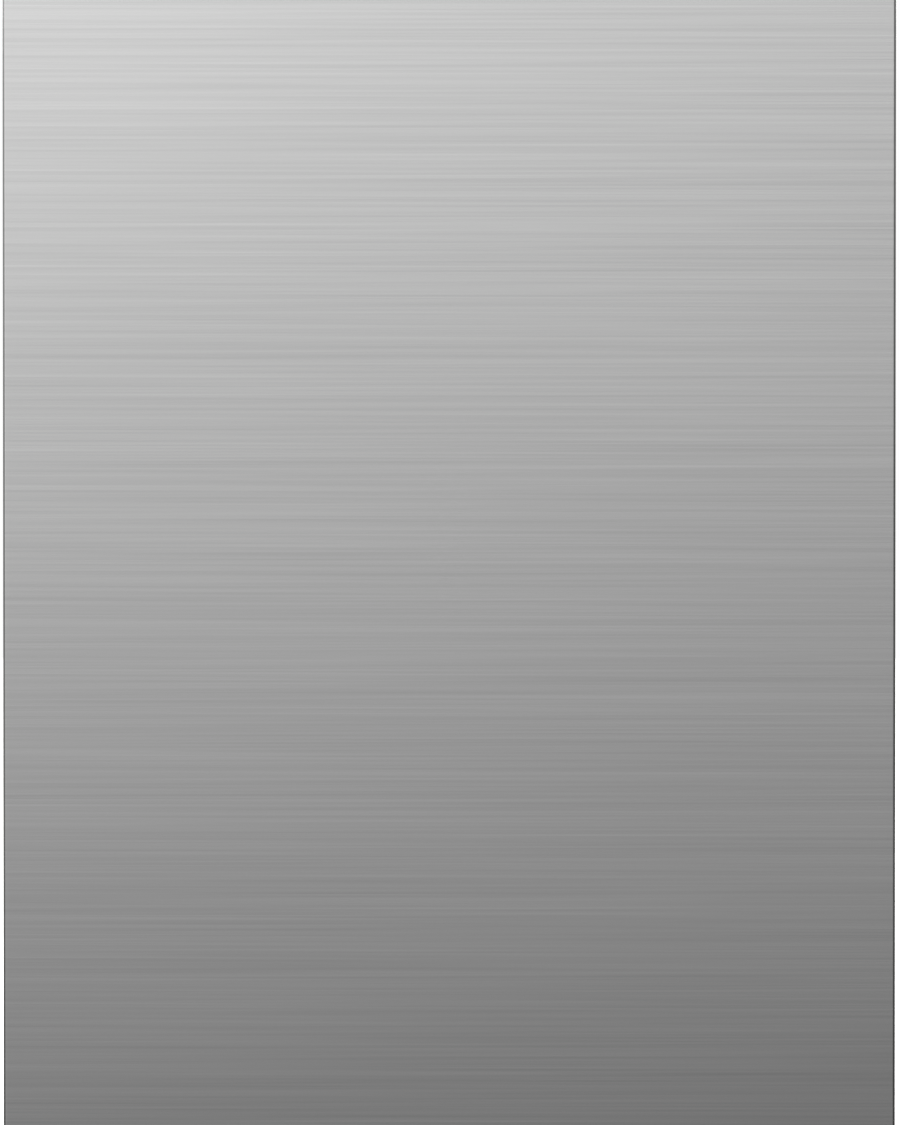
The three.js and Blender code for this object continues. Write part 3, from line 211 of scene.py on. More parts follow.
def brushedSteel():  # long fine scratches along X, broken up by broad soft bands, and painted shade on the folded edges
    made, tree, shader = newFinish("brushedSteel", 1.0, steelLook["roughness"])
    along = steelLook["along"]
    fine = pattern(tree, (along, along, steelLook["fine"]), 3.0, 0.62)
    coarse = pattern(tree, (along * 0.6, along * 0.6, steelLook["coarse"]), 2.0, 0.5, (3, 0, 7))
    haze = pattern(tree, (3.0, 3.0, 5.0), 2.0, 0.5, (1, 4, 2))
    both = put(tree, "ShaderNodeMath", {0: fine, 1: coarse}, operation="ADD").outputs[0]
    streak = remap(tree, both, 0.6, 1.4, 0.0, 1.0)
    spread = steelLook["contrast"]
    colour = blendColours(tree, streak, shade(steelLook["colour"], 1 - spread),
                          shade(steelLook["colour"], 1 + spread))
    # painted shade: the base colour is darkened where the normal turns sideways on the folds' rounding
    normal = put(tree, "ShaderNodeSeparateXYZ", {0: put(tree, "ShaderNodeTexCoord").outputs["Normal"]}).outputs["X"]
    sideways = put(tree, "ShaderNodeMath", {0: normal}, operation="ABSOLUTE").outputs[0]
    rounded = product(tree, remap(tree, sideways, 0.12, 0.40, 0, 1, True),
                      remap(tree, sideways, 0.93, 0.99, 1, 0, True))
    paintedFoldShadeColour = put(tree, "ShaderNodeVectorMath", {0: colour, "Scale": remap(tree, rounded, 0, 1, 1, 0.3)},
                 operation="SCALE").outputs[0]  # painted shade: the folded edges get a dark line in the base colour, standing in for the dark reflection there
    link(tree, paintedFoldShadeColour, shader, "Base Color")
    worn = put(tree, "ShaderNodeMath", {0: remap(tree, fine, 0.3, 0.7, -0.02, 0.02),
                                        1: remap(tree, haze, 0.3, 0.7, steelLook["roughness"] - 0.015,
                                                steelLook["roughness"] + 0.015)}, operation="ADD")
    link(tree, worn.outputs[0], shader, "Roughness")
    shader.inputs["Anisotropic"].default_value = steelLook["anisotropy"]
    turn = put(tree, "ShaderNodeTangent", direction_type="RADIAL", axis="Z")
    link(tree, turn.outputs[0], shader, "Tangent")
    relief(tree, shader, fine, 0.04, 0.0002)
    return made


def tubSteel():  # bright rolled sheet with a faint dried-water bloom
    made, tree, shader = newFinish("tubSteel", 1.0, 0.26)
    rolled = pattern(tree, (30, 500, 30), 2.0, 0.5)
    bloom = pattern(tree, (9, 9, 7), 4.0, 0.6)
    spots = put(tree, "ShaderNodeTexVoronoi", {"Scale": 160.0, "Randomness": 1.0,
            "Vector": put(tree, "ShaderNodeTexCoord").outputs["Object"]})
    ring = remap(tree, spots.outputs["Distance"], 0.05, 0.32, 0.05, 0.0, True)
    link(tree, blendColours(tree, bloom, (0.58, 0.59, 0.60), (0.70, 0.70, 0.70)), shader, "Base Color")
    rough = put(tree, "ShaderNodeMath", {0: remap(tree, bloom, 0.3, 0.7, 0.18, 0.30), 1: ring}, operation="ADD")
    link(tree, rough.outputs[0], shader, "Roughness")
    relief(tree, shader, rolled, 0.03, 0.0002)
    return made


def meshSteel():  # tub steel with rows of fine round holes, painted as near-black dots that stand in for the shade seen through them
    made, tree, shader = newFinish("meshSteel", 1.0, 0.30)
    coords = put(tree, "ShaderNodeTexCoord").outputs["Object"]
    holes = put(tree, "ShaderNodeTexVoronoi", {"Vector": coords, "Scale": 520.0, "Randomness": 0.0},
                voronoi_dimensions="2D")
    hole = remap(tree, holes.outputs["Distance"], 0.26, 0.34, 0.0, 1.0, True)
    bloom = pattern(tree, (14, 14, 14), 3.0)
    metal = blendColours(tree, bloom, (0.55, 0.56, 0.57), (0.70, 0.70, 0.70))
    # painted shade: the holes are near-black base colour, not openings
    mixed = put(tree, "ShaderNodeMix", {"Factor": hole, "A": (0.012, 0.012, 0.013, 1), "B": metal}, data_type="RGBA")
    link(tree, mixed.outputs["Result"], shader, "Base Color")
    link(tree, remap(tree, hole, 0, 1, 0.9, 0.26), shader, "Roughness")
    relief(tree, shader, hole, 0.5, 0.0003)
    return made


def zincSteel():  # galvanised sheet with its crystal spangle
    made, tree, shader = newFinish("zincSteel", 1.0, 0.42)
    coords = put(tree, "ShaderNodeTexCoord").outputs["Object"]
    wander = pattern(tree, (60, 60, 60), 2.0)
    crystals = put(tree, "ShaderNodeTexVoronoi", {"Scale": 110.0, "Vector": coords, "Randomness": 1.0})
    tone = put(tree, "ShaderNodeSeparateColor", {"Color": crystals.outputs["Color"]}).outputs[0]
    link(tree, blendColours(tree, tone, (0.27, 0.28, 0.295), (0.40, 0.415, 0.43)), shader, "Base Color")
    rough = put(tree, "ShaderNodeMath", {0: remap(tree, tone, 0, 1, 0.34, 0.50),
                                         1: remap(tree, wander, 0.3, 0.7, -0.04, 0.04)}, operation="ADD")
    link(tree, rough.outputs[0], shader, "Roughness")
    relief(tree, shader, crystals.outputs["Distance"], 0.05, 0.0004)
    return made


def springSteel():
    made, tree, shader = newFinish("springSteel", 1.0, 0.32)
    oil = pattern(tree, (90, 90, 90), 3.0)
    link(tree, blendColours(tree, oil, (0.22, 0.225, 0.23), (0.42, 0.42, 0.41)), shader, "Base Color")
    link(tree, remap(tree, oil, 0.3, 0.7, 0.22, 0.42), shader, "Roughness")
    relief(tree, shader, pattern(tree, (700, 700, 700)), 0.05, 0.0002)
    return made


def moulded(name, colour, roughness, grainSize, depth, spread=0.10):  # eroded mould texture and faint flow marks
    made, tree, shader = newFinish(name, 0.0, roughness)
    flow = pattern(tree, (14, 14, 22), 3.0, 0.55)
    pores = put(tree, "ShaderNodeTexVoronoi", {"Scale": 1 / grainSize, "Randomness": 1.0,
            "Vector": put(tree, "ShaderNodeTexCoord").outputs["Object"]})
    link(tree, blendColours(tree, flow, shade(colour, 1 - spread), shade(colour, 1 + spread)), shader, "Base Color")
    rough = put(tree, "ShaderNodeMath", {0: remap(tree, flow, 0.3, 0.7, roughness - 0.05, roughness + 0.05),
                                         1: remap(tree, pores.outputs["Distance"], 0, 0.8, 0.04, -0.04)},
                operation="ADD")
    link(tree, rough.outputs[0], shader, "Roughness")
    relief(tree, shader, pores.outputs["Distance"], 0.18, depth)
    return made


def coatedWire():  # dipped nylon: smooth, glossy and slightly uneven
    made, tree, shader = newFinish("coatedWire", 0.0, 0.30)
    uneven = pattern(tree, (70, 70, 70), 3.0)
    link(tree, blendColours(tree, uneven, (0.20, 0.215, 0.235), (0.25, 0.265, 0.285)), shader, "Base Color")
    link(tree, remap(tree, uneven, 0.3, 0.7, 0.24, 0.38), shader, "Roughness")
    shader.inputs["Coat Weight"].default_value = 0.4
    shader.inputs["Coat Roughness"].default_value = 0.15
    relief(tree, shader, pattern(tree, (260, 260, 260), 2.0), 0.10, 0.0004)
    return made


def rubber():
    made, tree, shader = newFinish("rubber", 0.0, 0.62)
    dust = pattern(tree, (45, 45, 45), 4.0, 0.65)
    link(tree, blendColours(tree, dust, (0.018, 0.018, 0.019), (0.045, 0.044, 0.043)), shader, "Base Color")
    link(tree, remap(tree, dust, 0.3, 0.7, 0.52, 0.74), shader, "Roughness")
    relief(tree, shader, pattern(tree, (900, 900, 900)), 0.12, 0.0002)
    return made


def bitumenFelt():  # matted fibre with a dark bitumen skin
    made, tree, shader = newFinish("bitumenFelt", 0.0, 0.86)
    fibres = pattern(tree, (420, 420, 420), 4.0, 0.7)
    mottle = pattern(tree, (75, 75, 75), 6.0, 0.75)
    link(tree, blendColours(tree, mottle, (0.006, 0.006, 0.006), (0.085, 0.082, 0.078)), shader, "Base Color")
    link(tree, remap(tree, mottle, 0.3, 0.7, 0.66, 0.92), shader, "Roughness")
    shader.inputs["Sheen Weight"].default_value = 0.06
    relief(tree, shader, put(tree, "ShaderNodeMath", {0: fibres, 1: mottle}, operation="ADD").outputs[0], 0.45,
           0.0009)
    return made


def ropeFinish():  # braid: two crossing waves round the cord, with painted shade in the grooves between the strands
    made, tree, shader = newFinish("ropeFinish", 0.0, 0.82)
    coords = put(tree, "ShaderNodeTexCoord").outputs["Object"]
    waves = [put(tree, "ShaderNodeTexWave",
                 {"Vector": put(tree, "ShaderNodeMapping", {"Vector": coords, "Rotation": (turn, 0, 0)}).outputs[0],
                  "Scale": 150.0, "Distortion": 0.4}, bands_direction="Y") for turn in (0.8, -0.8)]
    braid = product(tree, waves[0].outputs["Fac"], waves[1].outputs["Fac"])
    # painted shade: the braid's low grooves get the darker base colour
    link(tree, blendColours(tree, braid, (0.34, 0.31, 0.24), (0.72, 0.69, 0.60)), shader, "Base Color")
    relief(tree, shader, braid, 0.6, 0.0006)
    return made


def circuitBoard():  # solder mask over copper tracks
    made, tree, shader = newFinish("circuitBoard", 0.0, 0.35)
    coords = put(tree, "ShaderNodeTexCoord").outputs["Object"]
    tracks = put(tree, "ShaderNodeTexBrick", {"Vector": coords, "Scale": 90.0, "Mortar Size": 0.09,
            "Color1": (0.012, 0.075, 0.035, 1), "Color2": (0.014, 0.085, 0.04, 1), "Mortar": (0.05, 0.19, 0.09, 1)})
    link(tree, tracks.outputs["Color"], shader, "Base Color")
    relief(tree, shader, tracks.outputs["Fac"], 0.2, 0.0001)
    return made


def copperWire():
    made, tree, shader = newFinish("copperWire", 1.0, 0.30)
    turns = pattern(tree, (1200, 60, 60), 1.0)
    link(tree, blendColours(tree, turns, (0.52, 0.20, 0.07), (0.86, 0.42, 0.20)), shader, "Base Color")
    relief(tree, shader, turns, 0.35, 0.0004)
    return made


def smokedLens():
    made, tree, shader = newFinish("smokedLens", 0.0, 0.06)
    scuff = pattern(tree, (60, 300, 60), 3.0)
    link(tree, blendColours(tree, scuff, (0.006, 0.006, 0.007), (0.012, 0.012, 0.014)), shader, "Base Color")
    link(tree, remap(tree, scuff, 0.3, 0.7, 0.04, 0.12), shader, "Roughness")
    shader.inputs["Coat Weight"].default_value = 0.8
    return made


# printed signs on the keys, and painted light for the display's lit bars
def printedMark():
    made, tree, shader = newFinish("printedMark", 0.0, 0.5)
    ink = pattern(tree, (400, 400, 400), 2.0)
    link(tree, blendColours(tree, ink, (0.62, 0.63, 0.64), (0.74, 0.74, 0.74)), shader, "Base Color")
    return made


looks = {
    "steel": brushedSteel(), "tub": tubSteel(), "mesh": meshSteel(), "zinc": zincSteel(), "spring": springSteel(),
    "black": moulded("blackPlastic", (0.022, 0.022, 0.024), 0.46, 0.0007, 0.00015),
    "grey": moulded("greyPlastic", (0.27, 0.285, 0.30), 0.40, 0.0009, 0.00010),
    "white": moulded("whitePlastic", (0.74, 0.745, 0.73), 0.38, 0.0010, 0.00010, 0.04),
    "wire": coatedWire(), "rubber": rubber(), "felt": bitumenFelt(), "rope": ropeFinish(),
    "board": circuitBoard(), "copper": copperWire(), "lens": smokedLens(), "mark": printedMark(),
}
print("finishes made:", len(looks))

def linked(name, data):
    made = bpy.data.objects.new(name, data)
    scene.collection.objects.link(made)
    return made


def baked(piece, name=None):  # the piece with its modifiers applied, as a plain mesh at the origin
    bpy.context.view_layer.update()
    data = bpy.data.meshes.new_from_object(piece.evaluated_get(bpy.context.evaluated_depsgraph_get()))
    data.transform(piece.matrix_world)
    old = name or piece.name
    bpy.data.objects.remove(piece)
    made = linked(old, data)
    made.name = old
    return made


def meshOf(name, corners, faces):
    data = bpy.data.meshes.new(name)
    data.from_pydata([tuple(c) for c in corners], [], faces)
    data.validate()
    return linked(name, data)


def outward(piece):  # doubles merged, then every face turned outwards
    shape = bmesh.new()
    shape.from_mesh(piece.data)
    bmesh.ops.remove_doubles(shape, verts=shape.verts, dist=1e-6)
    bmesh.ops.recalc_face_normals(shape, faces=shape.faces)
    shape.to_mesh(piece.data)
    shape.free()
    return piece


def joined(name, pieces):  # several meshes in one object
    shape = bmesh.new()
    for piece in pieces:
        shape.from_mesh(piece.data)
    data = bpy.data.meshes.new(name)
    shape.to_mesh(data)
    shape.free()
    for piece in pieces:
        bpy.data.objects.remove(piece)
    return linked(name, data)


def softened(piece, width, segments=2, angle=32):  # small round edges, then even shading
    if width:
        bevel = piece.modifiers.new("edges", "BEVEL")
        bevel.width = width
        bevel.segments = segments
        bevel.limit_method = "ANGLE"
        bevel.angle_limit = math.radians(angle)
        bevel.use_clamp_overlap = True
    for face in piece.data.polygons:
        face.use_smooth = True
    piece.data.set_sharp_from_angle(angle=math.radians(angle))
    even = piece.modifiers.new("shading", "WEIGHTED_NORMAL")
    even.keep_sharp = True
    return baked(piece)


def dress(piece, look, body, *replaced):  # finish, body and the CAD nodes that the piece stands for
    piece.data.materials.clear()
    piece.data.materials.append(looks[look])
    piece.data.polygons.foreach_set("material_index", [0] * len(piece.data.polygons))
    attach(piece, body)
    if replaced:
        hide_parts(*replaced)
    return piece


def finished(piece, edge, look, body, *replaced):
    return dress(softened(piece, edge), look, body, *replaced)


def refinedShape(node, edge, segments=2):  # the shape of a CAD node with merged corners and round edges
    shape = bmesh.new()
    shape.from_mesh(nodes[node].data)
    bmesh.ops.remove_doubles(shape, verts=shape.verts, dist=2e-6)
    bmesh.ops.dissolve_limit(shape, angle_limit=math.radians(0.6), verts=shape.verts, edges=shape.edges)
    data = bpy.data.meshes.new(node + "Shape")
    shape.to_mesh(data)
    shape.free()
    return softened(linked(node + "Shape", data), edge, segments)


def refined(node, name, look, edge=0.0004, segments=2):
    made = refinedShape(node, edge, segments)
    made.name = name
    return dress(made, look, bodyOf[node], node)


def brick(name, x0, x1, y0, y1, z0, z1):
    x0, x1 = sorted((x0, x1))
    corners = [(x, y, z) for x in (x0, x1) for y in (y0, y1) for z in (z0, z1)]
    sides = [(0, 1, 3, 2), (4, 6, 7, 5), (0, 4, 5, 1), (2, 3, 7, 6), (0, 2, 6, 4), (1, 5, 7, 3)]
    return meshOf(name, corners, sides)


def axisPoint(axis, centre, along, reach, angle):
    a, b = reach * math.cos(angle), reach * math.sin(angle)
    if axis == "x":
        return (along, centre[0] + a, centre[1] + b)
    if axis == "y":
        return (centre[0] + a, along, centre[1] + b)
    return (centre[0] + a, centre[1] + b, along)


def lathe(name, axis, centre, profile, segments=48):  # profile pairs are radius and place along the axis
    corners, rows, faces = [], [], []
    for reach, along in profile:
        count = segments if reach > 1e-7 else 1
        rows.append([len(corners) + i for i in range(count)])
        corners += [axisPoint(axis, centre, along, reach, math.tau * i / segments) for i in range(count)]
    for low, high in zip(rows, rows[1:]):
        for i in range(segments):
            j = i + 1
            ring = [low[i % len(low)], low[j % len(low)], high[j % len(high)], high[i % len(high)]]
            face = list(dict.fromkeys(ring))
            if len(face) > 2:
                faces.append(face)
    return outward(meshOf(name, corners, faces))


def drum(name, axis, centre, radius, start, end, round=0.0006, segments=40):  # solid disc or bar with round rims
    return lathe(name, axis, centre, [(0, start), (radius - round, start), (radius, start + round),
                                      (radius, end - round), (radius - round, end), (0, end)], segments)


def loft(name, rings, closedEnds=True):  # loops of equal count, skinned one to the next
    count = len(rings[0])
    corners = [p for ring in rings for p in ring]
    faces = []
    for k in range(len(rings) - 1):
        for i in range(count):
            j = (i + 1) % count
            faces.append((k * count + i, k * count + j, (k + 1) * count + j, (k + 1) * count + i))
    if closedEnds:
        faces.append(tuple(range(count))[::-1])
        faces.append(tuple(range((len(rings) - 1) * count, len(rings) * count)))
    return outward(meshOf(name, corners, faces))


def arcInto(path, before, at, after, radius, steps):
    inward, onward = before - at, after - at
    reach = min(radius, inward.length * 0.48, onward.length * 0.48)
    a, b = at + inward.normalized() * reach, at + onward.normalized() * reach
    for i in range(steps + 1):
        t = i / steps
        path.append(a.lerp(at, t).lerp(at.lerp(b, t), t))


def bent(corners, radius, steps=4):  # an open path whose inner corners are rounded
    points = [Vector(c) for c in corners]
    path = [points[0]]
    for before, at, after in zip(points, points[1:], points[2:]):
        arcInto(path, before, at, after, radius, steps)
    return path + [points[-1]]


def ringed(corners, radius, steps=6):  # a closed path with every corner rounded
    points = [Vector(c) for c in corners]
    path = []
    for i, at in enumerate(points):
        arcInto(path, points[i - 1], at, points[(i + 1) % len(points)], radius, steps)
    return path


def smoothPath(points, steps=8):  # Catmull-Rom through the points
    p = [Vector(q) for q in points]
    p = [p[0] * 2 - p[1]] + p + [p[-1] * 2 - p[-2]]
    path = []
    for a, b, c, d in zip(p, p[1:], p[2:], p[3:]):
        for i in range(steps):
            t = i / steps
            path.append(0.5 * (2 * b + (c - a) * t + (2 * a - 5 * b + 4 * c - d) * t * t
                               + (3 * b - a - 3 * c + d) * t ** 3))
    return path + [p[-2]]


def curveOf(name, paths, closed=False):
    data = bpy.data.curves.new(name, "CURVE")
    data.dimensions = "3D"
    for path in paths:
        spline = data.splines.new("POLY")
        spline.points.add(len(path) - 1)
        for point, place in zip(spline.points, path):
            point.co = (*place, 1)
        spline.use_cyclic_u = closed
    return linked(name, data)


def wirework(name, paths, radius, closed=False, fineness=2):  # round bars along paths
    made = curveOf(name, paths, closed)
    made.data.bevel_depth = radius
    made.data.bevel_resolution = fineness
    made.data.use_fill_caps = True
    return baked(made)


def cutBy(piece, *tools):
    for tool in tools:
        knife = piece.modifiers.new("cut", "BOOLEAN")
        knife.operation = "DIFFERENCE"
        knife.solver = "EXACT"
        knife.object = tool
    made = baked(piece)
    for tool in tools:
        bpy.data.objects.remove(tool)
    return made


def spread(start, end, count):
    return [start + (end - start) * i / (count - 1) for i in range(count)]


def smooth(t):
    t = min(1.0, max(0.0, t))
    return t * t * (3 - 2 * t)


def roundBar(name, way, radius, fineness=3):
    return wirework(name, [way], radius, fineness=fineness)


def newTree(name, inputs):  # a Geometry Nodes tree with named inputs and one geometry in and out
    tree = bpy.data.node_groups.new(name, "GeometryNodeTree")
    tree.interface.new_socket("Geometry", in_out="INPUT", socket_type="NodeSocketGeometry")
    for label, kind in inputs.items():
        tree.interface.new_socket(label, in_out="INPUT", socket_type="NodeSocket" + kind)
    tree.interface.new_socket("finish", in_out="INPUT", socket_type="NodeSocketMaterial")
    tree.interface.new_socket("Geometry", in_out="OUTPUT", socket_type="NodeSocketGeometry")
    return tree, put(tree, "NodeGroupInput")


def closeTree(tree, start, geometry):
    real = put(tree, "GeometryNodeRealizeInstances", {"Geometry": geometry})
    painted = put(tree, "GeometryNodeSetMaterial", {"Geometry": real.outputs[0], "Material": start.outputs["finish"]})
    put(tree, "NodeGroupOutput", {"Geometry": painted.outputs[0]})
    return tree


def rowTree():  # copies of one piece at even steps
    tree, start = newTree("rowTree", {"piece": "Object", "count": "Int", "step": "Vector"})
    line = put(tree, "GeometryNodeMeshLine", {"Count": start.outputs["count"], "Offset": start.outputs["step"]})
    shape = put(tree, "GeometryNodeObjectInfo", {"Object": start.outputs["piece"]}, transform_space="RELATIVE")
    copies = put(tree, "GeometryNodeInstanceOnPoints", {"Points": line.outputs[0],
            "Instance": shape.outputs["Geometry"]})
    return closeTree(tree, start, copies.outputs[0])


def ringTree():  # copies of one piece turned about an axis through a centre
    tree, start = newTree("ringTree", {"piece": "Object", "count": "Int", "centre": "Vector", "axis": "Vector"})
    points = put(tree, "GeometryNodeMeshLine", {"Count": start.outputs["count"], "Offset": (0, 0, 0)})
    shape = put(tree, "GeometryNodeObjectInfo", {"Object": start.outputs["piece"]}, transform_space="RELATIVE")
    moved = put(tree, "ShaderNodeVectorMath", {0: start.outputs["centre"], "Scale": -1.0}, operation="SCALE")
    centred = put(tree, "GeometryNodeTransform", {"Geometry": shape.outputs["Geometry"],
            "Translation": moved.outputs[0]})
    number = put(tree, "GeometryNodeInputIndex")
    share = put(tree, "ShaderNodeMath", {0: number.outputs[0], 1: start.outputs["count"]}, operation="DIVIDE")
    angle = put(tree, "ShaderNodeMath", {0: share.outputs[0], 1: math.tau}, operation="MULTIPLY")
    turn = put(tree, "FunctionNodeAxisAngleToRotation", {"Axis": start.outputs["axis"], "Angle": angle.outputs[0]})
    copies = put(tree, "GeometryNodeInstanceOnPoints", {"Points": points.outputs[0], "Instance": centred.outputs[0],
            "Rotation": turn.outputs[0]})
    real = put(tree, "GeometryNodeRealizeInstances", {"Geometry": copies.outputs[0]})
    placed = put(tree, "GeometryNodeTransform", {"Geometry": real.outputs[0], "Translation": start.outputs["centre"]})
    return closeTree(tree, start, placed.outputs[0])


def coilTree():  # a wound wire along Y, from a start point
    tree, start = newTree("coilTree", {"turns": "Float", "radius": "Float", "length": "Float", "wire": "Float",
                                       "place": "Vector"})
    helix = put(tree, "GeometryNodeCurveSpiral", {"Resolution": 18, "Rotations": start.outputs["turns"],
            "Start Radius": start.outputs["radius"], "End Radius": start.outputs["radius"],
            "Height": start.outputs["length"]})
    section = put(tree, "GeometryNodeCurvePrimitiveCircle", {"Resolution": 8, "Radius": start.outputs["wire"]})
    wound = put(tree, "GeometryNodeCurveToMesh", {"Curve": helix.outputs[0], "Profile Curve": section.outputs[0],
            "Fill Caps": True})
    laid = put(tree, "GeometryNodeTransform", {"Geometry": wound.outputs[0], "Rotation": (-math.pi / 2, 0, 0),
            "Translation": start.outputs["place"]})
    return closeTree(tree, start, laid.outputs[0])


def hoseTree():  # a tube along a path with a rib at even steps
    tree, start = newTree("hoseTree", {"path": "Object", "radius": "Float", "rib": "Float", "pitch": "Float"})
    route = put(tree, "GeometryNodeObjectInfo", {"Object": start.outputs["path"]}, transform_space="RELATIVE")
    sixth = put(tree, "ShaderNodeMath", {0: start.outputs["pitch"], 1: 6.0}, operation="DIVIDE")
    even = put(tree, "GeometryNodeResampleCurve", {"Curve": route.outputs["Geometry"], "Length": sixth.outputs[0]},
               mode="LENGTH")
    along = put(tree, "GeometryNodeSplineParameter")
    turns = put(tree, "ShaderNodeMath", {0: along.outputs["Length"], 1: start.outputs["pitch"]}, operation="DIVIDE")
    phase = put(tree, "ShaderNodeMath", {0: turns.outputs[0], 1: math.tau}, operation="MULTIPLY")
    wave = put(tree, "ShaderNodeMath", {0: phase.outputs[0]}, operation="SINE")
    swell = put(tree, "ShaderNodeMath", {0: wave.outputs[0], 1: start.outputs["rib"], 2: 1.0},
                operation="MULTIPLY_ADD")
    ribbed = put(tree, "GeometryNodeSetCurveRadius", {"Curve": even.outputs[0], "Radius": swell.outputs[0]})
    section = put(tree, "GeometryNodeCurvePrimitiveCircle", {"Resolution": 16, "Radius": start.outputs["radius"]})
    skin = put(tree, "GeometryNodeCurveToMesh", {"Curve": ribbed.outputs[0], "Profile Curve": section.outputs[0],
            "Fill Caps": True})
    return closeTree(tree, start, skin.outputs[0])


def fixingTree():  # one head on each point of a mesh, facing the way its attribute says
    tree, start = newTree("fixingTree", {"head": "Object"})
    shape = put(tree, "GeometryNodeObjectInfo", {"Object": start.outputs["head"]}, transform_space="RELATIVE")
    facing = put(tree, "GeometryNodeInputNamedAttribute", {"Name": "facing"}, data_type="FLOAT_VECTOR")
    turn = put(tree, "FunctionNodeAlignRotationToVector", {"Vector": facing.outputs[0]}, axis="Z")
    heads = put(tree, "GeometryNodeInstanceOnPoints", {"Points": start.outputs["Geometry"],
            "Instance": shape.outputs["Geometry"], "Rotation": turn.outputs[0]})
    return closeTree(tree, start, heads.outputs[0])


trees = {"row": rowTree(), "ring": ringTree(), "coil": coilTree(), "hose": hoseTree(), "fixing": fixingTree()}
print("node trees built:", len(trees))


def grown(name, tree, look, seed=None, **values):  # what a tree makes, as a plain mesh
    holder = seed or linked(name + "Seed", bpy.data.meshes.new(name + "Seed"))
    maker = holder.modifiers.new("maker", "NODES")
    maker.node_group = trees[tree]
    values["finish"] = looks[look]
    for item in trees[tree].interface.items_tree:
        if item.item_type == "SOCKET" and item.in_out == "INPUT" and item.name in values:
            maker[item.identifier] = values[item.name]
    holder.update_tag()
    made = baked(holder, name)
    for used in ("piece", "path", "head"):
        if used in values:
            bpy.data.objects.remove(values[used])
    return made


def row(name, piece, look, count, step):
    return grown(name, "row", look, piece=piece, count=count, step=Vector(step))


def ring(name, piece, look, count, centre, axis):
    return grown(name, "ring", look, piece=piece, count=count, centre=Vector(centre), axis=Vector(axis))


screwSizes = {"radius": 0.0035, "height": 0.0018, "recess": 0.0011, "star": 0.0015}


def screwHead():  # pan head with a six-lobed recess, standing on the origin along Z
    v = screwSizes
    head = lathe("screwHead", "z", (0, 0), [(0, -0.0006), (v["radius"], -0.0006), (v["radius"], v["height"] * 0.4),
                                            (v["radius"] * 0.72, v["height"] * 0.9), (v["radius"] * 0.5, v["height"]),
                                            (0, v["height"])], 18)
    lobes = [(v["star"] * (1 + 0.22 * math.cos(6 * a)) * math.cos(a),
              v["star"] * (1 + 0.22 * math.cos(6 * a)) * math.sin(a))
             for a in [math.tau * i / 24 for i in range(24)]]
    tool = loft("star", [[(x, y, z) for x, y in lobes] for z in (v["height"] - v["recess"], v["height"] + 0.001)])
    return cutBy(head, tool)


def fixings(name, body, spots, look="zinc"):  # screws at places, each with the way it faces
    seed = meshOf(name + "Spots", [place for place, _ in spots], [])
    facing = seed.data.attributes.new("facing", "FLOAT_VECTOR", "POINT")
    for item, (_, way) in zip(facing.data, spots):
        item.vector = way
    made = grown(name, "fixing", look, seed=seed, head=screwHead())
    return dress(made, look, body)


def rectangle(x, y0, y1, z):
    return [(-x, y0, z), (x, y0, z), (x, y1, z), (-x, y1, z)]


lowerSpan, upperSpan = span("lower_rack"), span("upper_rack")
lowerRack = {"side": 0.2418, "floor": 0.212, "top": 0.358, "wire": 0.0019, "rim": 0.0025, "across": 13, "along": 11,
             "tineHeight": 0.084, "tines": 17, "tineRows": (-0.1029, 0, 0.1029), "bracketTop": 0.298}
upperRack = {"side": 0.2328, "floor": 0.502, "top": 0.614, "wire": 0.0019, "rim": 0.0025, "across": 12, "along": 11}


def basketWires(name, v, front, back):  # U wires both ways and two rims
    rim, wire = v["rim"], v["wire"]
    side, low, high = v["side"] - 2 * rim, v["floor"] + wire, v["top"] - rim
    y0, y1 = front + 2 * rim, back - 2 * rim
    acrossWay = bent([(-side, 0, high), (-side, 0, low), (side, 0, low), (side, 0, high)], 0.016)
    alongWay = bent([(0, y0, high), (0, y0, low + 2 * wire), (0, y1, low + 2 * wire), (0, y1, high)], 0.016)
    starts = spread(front + 0.03, back - 0.03, v["across"])
    columns = spread(-side + 0.03, side - 0.03, v["along"])
    first = [Vector((0, starts[0], 0)) + p for p in acrossWay]
    second = [Vector((columns[0], 0, 0)) + p for p in alongWay]
    rims = [ringed(rectangle(v["side"] - rim, front + rim, back - rim, z), 0.024)
            for z in (high, (v["floor"] + v["top"]) / 2 + rim)]
    place = starts[0]
    across = row(name + "Across", wirework(name + "U", [first], wire), "wire", v["across"], (0, starts[1] - place, 0))
    along = row(name + "Along", wirework(name + "V", [second], wire), "wire", v["along"],
                (columns[1] - columns[0], 0, 0))
    return [across, along, wirework(name + "Rims", rims, rim, closed=True)]


def tineShape(x, y, low, high, radius=0.0018):
    return lathe("tine", "z", (x, y), [(0, low), (radius, low), (radius, high - 0.0015),
                                       (radius * 0.7, high - 0.0004),
                                       (0, high)], 8)


def tineLine(name, x, y0, y1, low, high, count):
    return row(name, tineShape(x, y0, low, high), "wire", count, (0, (y1 - y0) / (count - 1), 0))


wheelSpan = {n: span("wheel_" + n) for n in ("front_left", "front_right", "rear_left", "rear_right")}


